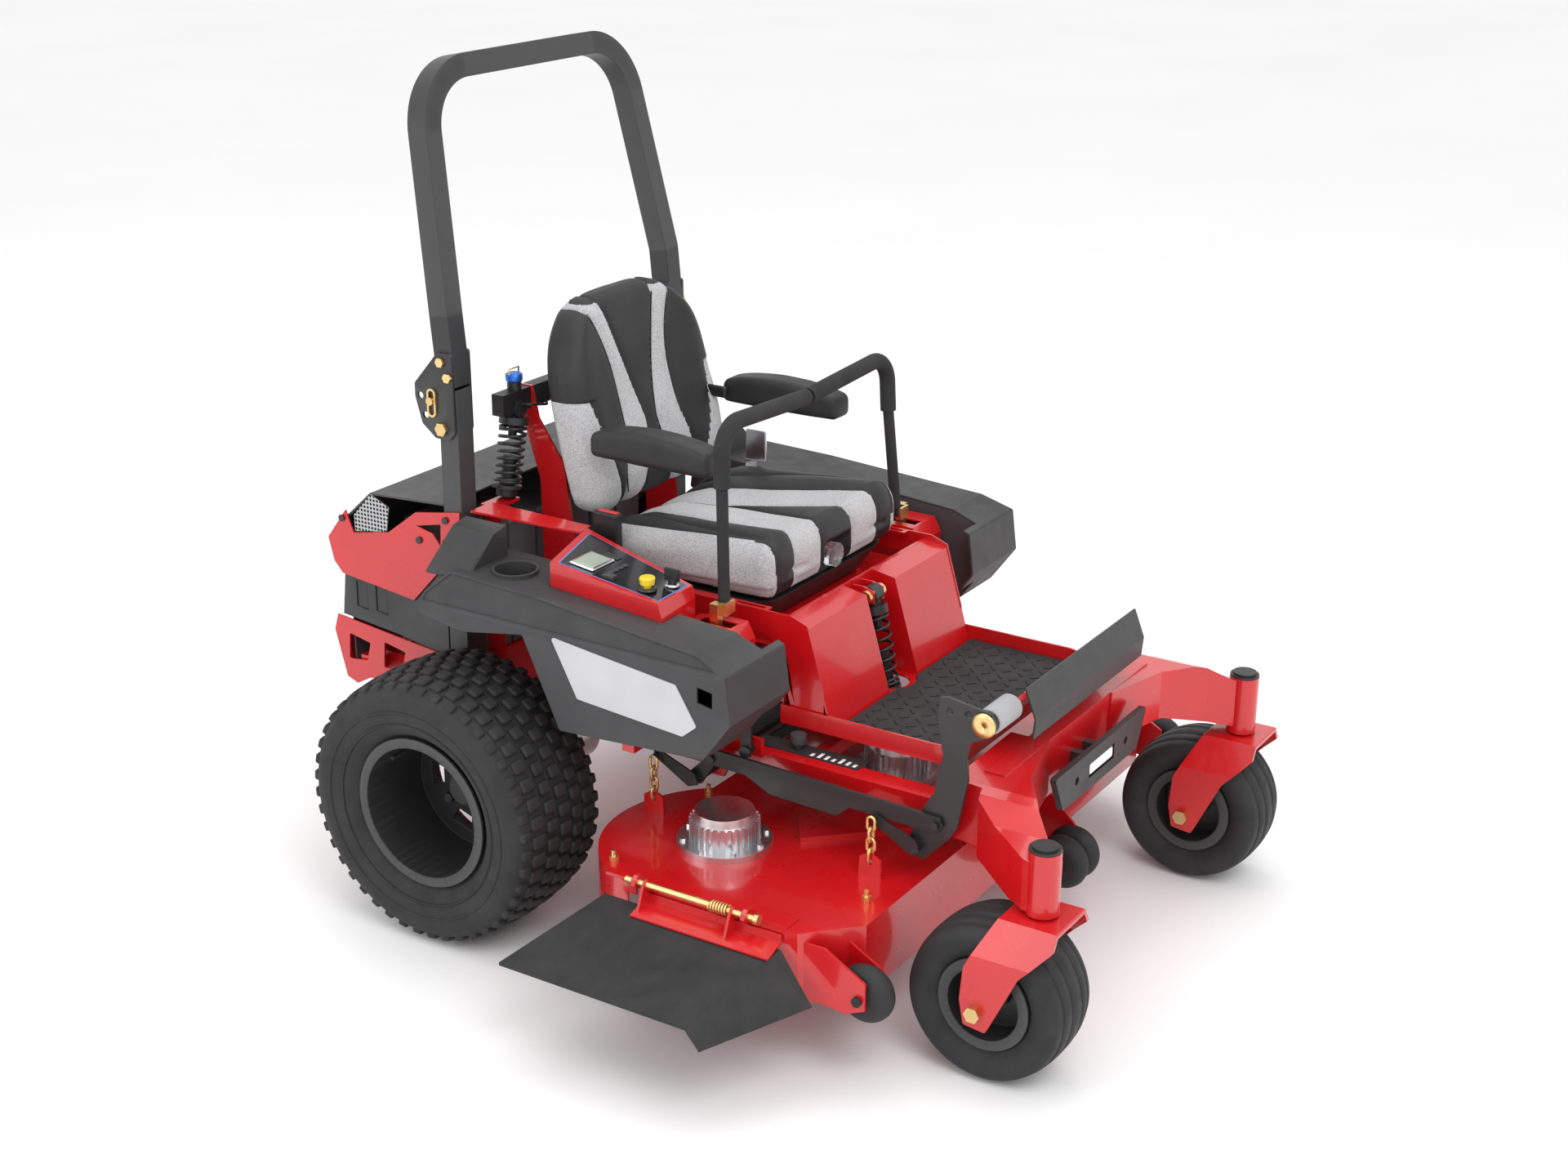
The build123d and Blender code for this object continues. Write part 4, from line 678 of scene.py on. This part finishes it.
def shape_back(p, n):
    u = (p.z - 858) / 444
    p = p.copy()
    flare = 0.955 + 0.045 * min(u / 0.3, 1)
    p.x *= narrowing(u) * flare
    thick = 1.0 - 0.16 * u
    middle = BACK_FOOT + BACK_LEAN * u
    p.y = middle + p.y * thick
    panel, near = back_seams(p.x, p.z)
    if n.y < 0.35:
        bolster = 20 * math.exp(-((abs(p.x) - 205) / 45) ** 2) * (1 - 0.55 * u)
        p += n * puff(near, 6.0, 16)
        p.y -= bolster * max(-n.y, 0)
        p.y += 8 * math.exp(-(p.x / 110) ** 2) * max(-n.y, 0)
        p.y += 14 * max(0, 1 - u / 0.14) * max(-n.y, 0)
        lumbar = 9 * math.exp(-((u - 0.28) / 0.2) ** 2)
        p.y -= lumbar * max(-n.y, 0)
    p += n * noise.noise(p * 0.011 + Vector((7, 3, 1))) * 2.2
    return p


def back_paint(c):
    u = (c.z - BACK_BASE) / BACK_TALL
    middle = BACK_FOOT + BACK_LEAN * u
    if c.y > middle + 34:
        return 2
    panel, _ = back_seams(c.x, c.z)
    return 1 if panel in (1, 3) and c.z < 1294 else 0


verts, faces = rounded((-254, -48, 858), (254, 46, 1302), 38, 4.5, shape_back)
back = piece("backrest_cover", [at(*v) for v in verts], faces, [VINYL, CLOTH, CHARCOAL], "backrest",
             paint_by(back_paint))
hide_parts("seat_backrest")
for s, word in ((-1, "right"), (1, "left")):
    box_piece(f"armrest_bracket_{word}", (min(s * 206, s * 216), -160, 1022),
              (max(s * 206, s * 216), -66, 1050), 4, 6, BLACK, "backrest")

    def shape_arm(p, n):
        p = p.copy()
        t = (p.y + 446) / 310
        rise = math.sin(math.pi * min(max(t, 0), 1)) ** 0.6
        p.z += (p.z - 1010) / 42 * (4 + 24 * rise) - 3 * (1 - (p.z - 1010) / 42) * rise
        return p + n * noise.noise(p * 0.02) * 0.8

    pad = box_piece(f"armrest_pad_{word}", (min(s * 224, s * 290), -446, 1010),
                    (max(s * 224, s * 290), -138, 1052), 12, 5, BLACK_RUBBER, f"armrest_{word}",
                    shape_arm)
    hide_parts(f"armrest_{word}")

# seams piped along the stripes of the back
for s, word in ((-1, "right"), (1, "left")):
    for edge_no in (0, 1):
        path = []
        for i in range(34):
            z = 885 + i * 12
            u = (z - BACK_BASE) / BACK_TALL
            x = waist(u) if edge_no == 0 else stripe(u)
            if x > 232 * narrowing(u):
                break
            depth = -48 * (1 - 0.16 * u) + 8 * math.exp(-(x / 110) ** 2)
            depth -= 9 * math.exp(-((u - 0.28) / 0.2) ** 2)
            depth -= 20 * math.exp(-((x - 205) / 45) ** 2) * (1 - 0.55 * u)
            path.append((s * x, BACK_FOOT + BACK_LEAN * u + depth + 1.2, z))
        rod_piece(f"back_piping_{word}_{edge_no}", path, 1.6, VINYL, "backrest")

# ---- floor mat tread -----------------------------------------------------------------------------
bars = []
for row in range(9):
    for column in range(17):
        x, y = -272 + column * 34, -1030 + row * 34
        if math.hypot(x, y + 726) < 80 or y > -765 or (abs(x) > 262 and y < -1010):
            continue
        verts, faces = rounded((-11, -2.6, MAT_TOP), (11, 2.6, MAT_TOP + 1.8), 0.9, 6)
        turn = Matrix.Rotation(math.radians(45 if (row + column) % 2 else -45), 3, "Z")
        bars.append(([turn @ v + Vector((x, y, 0)) for v in verts], faces))
verts, faces = join_meshes(bars)
piece("mat_tread", [at(*v) for v in verts], faces, [RUBBER], "platform")

# ---- foam on the lift pedal ----------------------------------------------------------------------
verts, faces = turned([(-46, 21), (-46, 25), (-43, 27), (43, 27), (46, 25), (46, 21)],
                      (-374, *PEDAL), 40)
piece("pedal_foam", [at(*v) for v in verts], faces, [GREY_FOAM], "lift_pedal")
verts, faces = turned([(0, 0.5), (0, 24), (4, 26), (8, 24), (8, 0.5)], (-446, *PEDAL), 36)
piece("pedal_cap", [at(*v) for v in verts], faces, [ZINC], "lift_pedal")

# ---- lamp in the bumper --------------------------------------------------------------------------
box_piece("lamp_bezel", (-61, -1238, 441), (61, -1232.5, 473), 4, 5, GLOSS_BLACK, CHASSIS)
box_piece("lamp_lens", (-55, -1240, 446), (55, -1236, 468), 3, 5, LENS, CHASSIS)


# ---- console face --------------------------------------------------------------------------------
SLOPE = (CONSOLE_REAR_Z - CONSOLE_FRONT_Z) / (CONSOLE_REAR - CONSOLE_FRONT)


def console_z(y):
    """Height of the console's sloping face."""
    return CONSOLE_FRONT_Z + (y - CONSOLE_FRONT) * SLOPE


def on_slope(p, n):
    q = p.copy()
    q.z = console_z(p.y) + p.z
    return q


def slope_box(name, x0, x1, y0, y1, z0, z1, radius, mat, body=CHASSIS):
    return box_piece(name, (x0, y0, z0), (x1, y1, z1), radius, 5, mat, body, on_slope)


def decal(name, grow, z0, z1, mat):
    """Four-sided sheet that follows the console's plan."""
    plan = [(-514, -215), (-340, -170), (-404, -478), (-514, -480)]
    cx = sum(p[0] for p in plan) / 4
    cy = sum(p[1] for p in plan) / 4
    points = []
    for x, y in plan:
        d = Vector((cx - x, cy - y))
        d.normalize()
        points.append((x + d.x * grow, y + d.y * grow))
    verts, count = [], len(points)
    for z in (z0, z1):
        verts += [at(x, y, console_z(y) + z) for x, y in points]
    faces = [list(range(count))[::-1], list(range(count, 2 * count))]
    faces += [[i, (i + 1) % count, (i + 1) % count + count, i + count] for i in range(count)]
    return piece(name, verts, faces, [mat], CHASSIS, smooth=False)


decal("console_decal_edge", 6, 0.2, 0.7, PRINT_BLUE)
decal("console_decal", 9, 0.3, 1.0, GLOSS_BLACK)
slope_box("display_bezel", -500, -420, -300, -238, 1, 7, 3, CHROME)
slope_box("display_glass", -493, -427, -294, -244, 6, 8.2, 2, SCREEN)
for i in range(4):
    verts, faces = turned([(0, 0.4), (0, 8), (2.4, 7), (3.6, 4), (4.0, 0.4)],
                          (-472 + i * 16, -326, console_z(-326) + 1), 28, "z")
    piece(f"membrane_button_{i}", [at(*v) for v in verts], faces, [CHARCOAL], CHASSIS)
slope_box("menu_button", -414, -396, -300, -262, 1, 4, 2, CHARCOAL)
for name, (x, y, r) in {"key_collar": (-432, -452, 16), "pull_switch_base": (-486, -428, 20)}.items():
    inner = 9.6 if name == "key_collar" else 8.6
    verts, faces = turned([(0, inner), (0, r), (4, r), (6, r - 3), (6, inner)],
                          (x, y, console_z(y) + 1), 36, "z")
    piece(name, [at(*v) for v in verts], faces, [CHROME if name == "key_collar" else GLOSS_BLACK], CHASSIS)

# ---- liners over the side pods' open inner faces -------------------------------------------------
INNER = [(72, 717), (66, 757), (14, 803), (-221, 795), (-454, 777), (-454, 541), (-298, 531), (-208, 725),
         (-40, 696)]
NOTCH = [(-457, 774), (-630, 763), (-688, 741), (-688, 597), (-654, 555), (-457, 543)]
for s, word in ((-1, "right"), (1, "left")):
    for part, outline, x0, x1 in (("liner", INNER, 398.6, 400.0), ("notch", NOTCH, 462.2, 463.4)):
        verts, faces = prism(outline, s * x0, s * x1)
        piece(f"pod_{part}_{word}", verts, faces, [CHARCOAL], CHASSIS, smooth=False)

# ---- vents, mesh corners, dial print -------------------------------------------------------------
for s, word in ((-1, "right"), (1, "left")):
    for i, y in enumerate((430, 372)):
        box_piece(f"vent_mesh_{word}_{i}", (min(s * 423.2, s * 425.5), y - 36, 584),
                  (max(s * 423.2, s * 425.5), y + 2, 654), 1, 8, MESH_BLACK, CHASSIS)
    corners = [(372, 868), (424, 812), (424, 772), (330, 788), (320, 846)]
    verts, faces = prism(corners, s * 423.0, s * 426.0)
    piece(f"corner_mesh_{word}", verts, faces, [MESH_SILVER], CHASSIS, smooth=False)
for i in range(7):
    box_piece(f"dial_mark_{i}", (-356, -850 + i * 17, DECK_PLATE),
              (-342 + (i % 3) * 5, -842 + i * 17, DECK_PLATE + 0.45), 0.2, 8, WHITE, CHASSIS)

# ---- suspension adjusters, belt button -----------------------------------------------------------
for s, word in ((-1, "right"), (1, "left")):
    verts, faces = turned([(0, 0.5), (0, 17), (3, 19), (16, 19), (19, 15), (19, 0.5)],
                          (s * SHOCK_X, SHOCK_Y, 1128.4), 32, "z")
    piece(f"adjuster_cap_{word}", [at(*v) for v in verts], faces, [BLUE], "platform")
    handle = [(s * SHOCK_X + x, SHOCK_Y, z) for x, z in ((-16, 1146), (-17, 1158), (17, 1158), (16, 1146))]
    rod_piece(f"adjuster_handle_{word}", handle, 2.2, ZINC, "platform")
box_piece("buckle_button", (-294, -211, 890), (-282, -160, 894.5), 2, 4, BUTTON_RED, "seat")

# ---- floor, light and camera ---------------------------------------------------------------------
bpy.ops.mesh.primitive_plane_add(size=60, location=(0, 0, 0))
floor = bpy.context.object
floor.name = "floor"
paper = Nodes("paper", (0.93, 0.93, 0.935), 0.75)
paper.colour(paper.ramp(paper.noise(0.7, 2.0), [(0.3, (0.92, 0.92, 0.925)), (0.7, (0.94, 0.94, 0.945))]))
floor.data.materials.append(paper.mat)

world = bpy.data.worlds.new("studio")
bpy.context.scene.world = world
world.use_nodes = True
world.node_tree.nodes["Background"].inputs["Color"].default_value = (1, 1, 1, 1)
world.node_tree.nodes["Background"].inputs["Strength"].default_value = 1.0


def area(name, place, aim, size, power):
    light = bpy.data.lights.new(name, "AREA")
    light.shape = "RECTANGLE"
    light.size, light.size_y = size
    light.energy = power
    obj = bpy.data.objects.new(name, light)
    bpy.context.scene.collection.objects.link(obj)
    obj.location = place
    obj.rotation_euler = (Vector(aim) - Vector(place)).to_track_quat("-Z", "Y").to_euler()


area("key", (-2.5, -3.5, 5.0), (0, -0.2, 0.6), (3.0, 3.0), 110)
area("fill", (-5.0, 2.5, 3.0), (0, 0.2, 0.7), (3.0, 2.5), 50)
area("top", (0.6, 0.6, 5.5), (0, 0, 0.5), (4.0, 4.0), 70)

lens = bpy.data.cameras.new("camera")
lens.lens = 52.27
lens.sensor_width = 36.0
camera = bpy.data.objects.new("camera", lens)
bpy.context.scene.collection.objects.link(camera)
back_axis = Vector((-0.79288, -0.49717, 0.35237)).normalized()
across = Vector((0, 0, 1)).cross(back_axis).normalized()
upward = back_axis.cross(across)
roll = math.radians(0.352)
x_axis = across * math.cos(roll) + upward * math.sin(roll)
y_axis = -across * math.sin(roll) + upward * math.cos(roll)
camera.matrix_world = Matrix.Translation(at(-4022.8, -2975.1, 2471.7)) @ Matrix(
    (x_axis, y_axis, back_axis)).transposed().to_4x4()
bpy.context.scene.camera = camera
bpy.context.scene.view_settings.view_transform = "Standard"
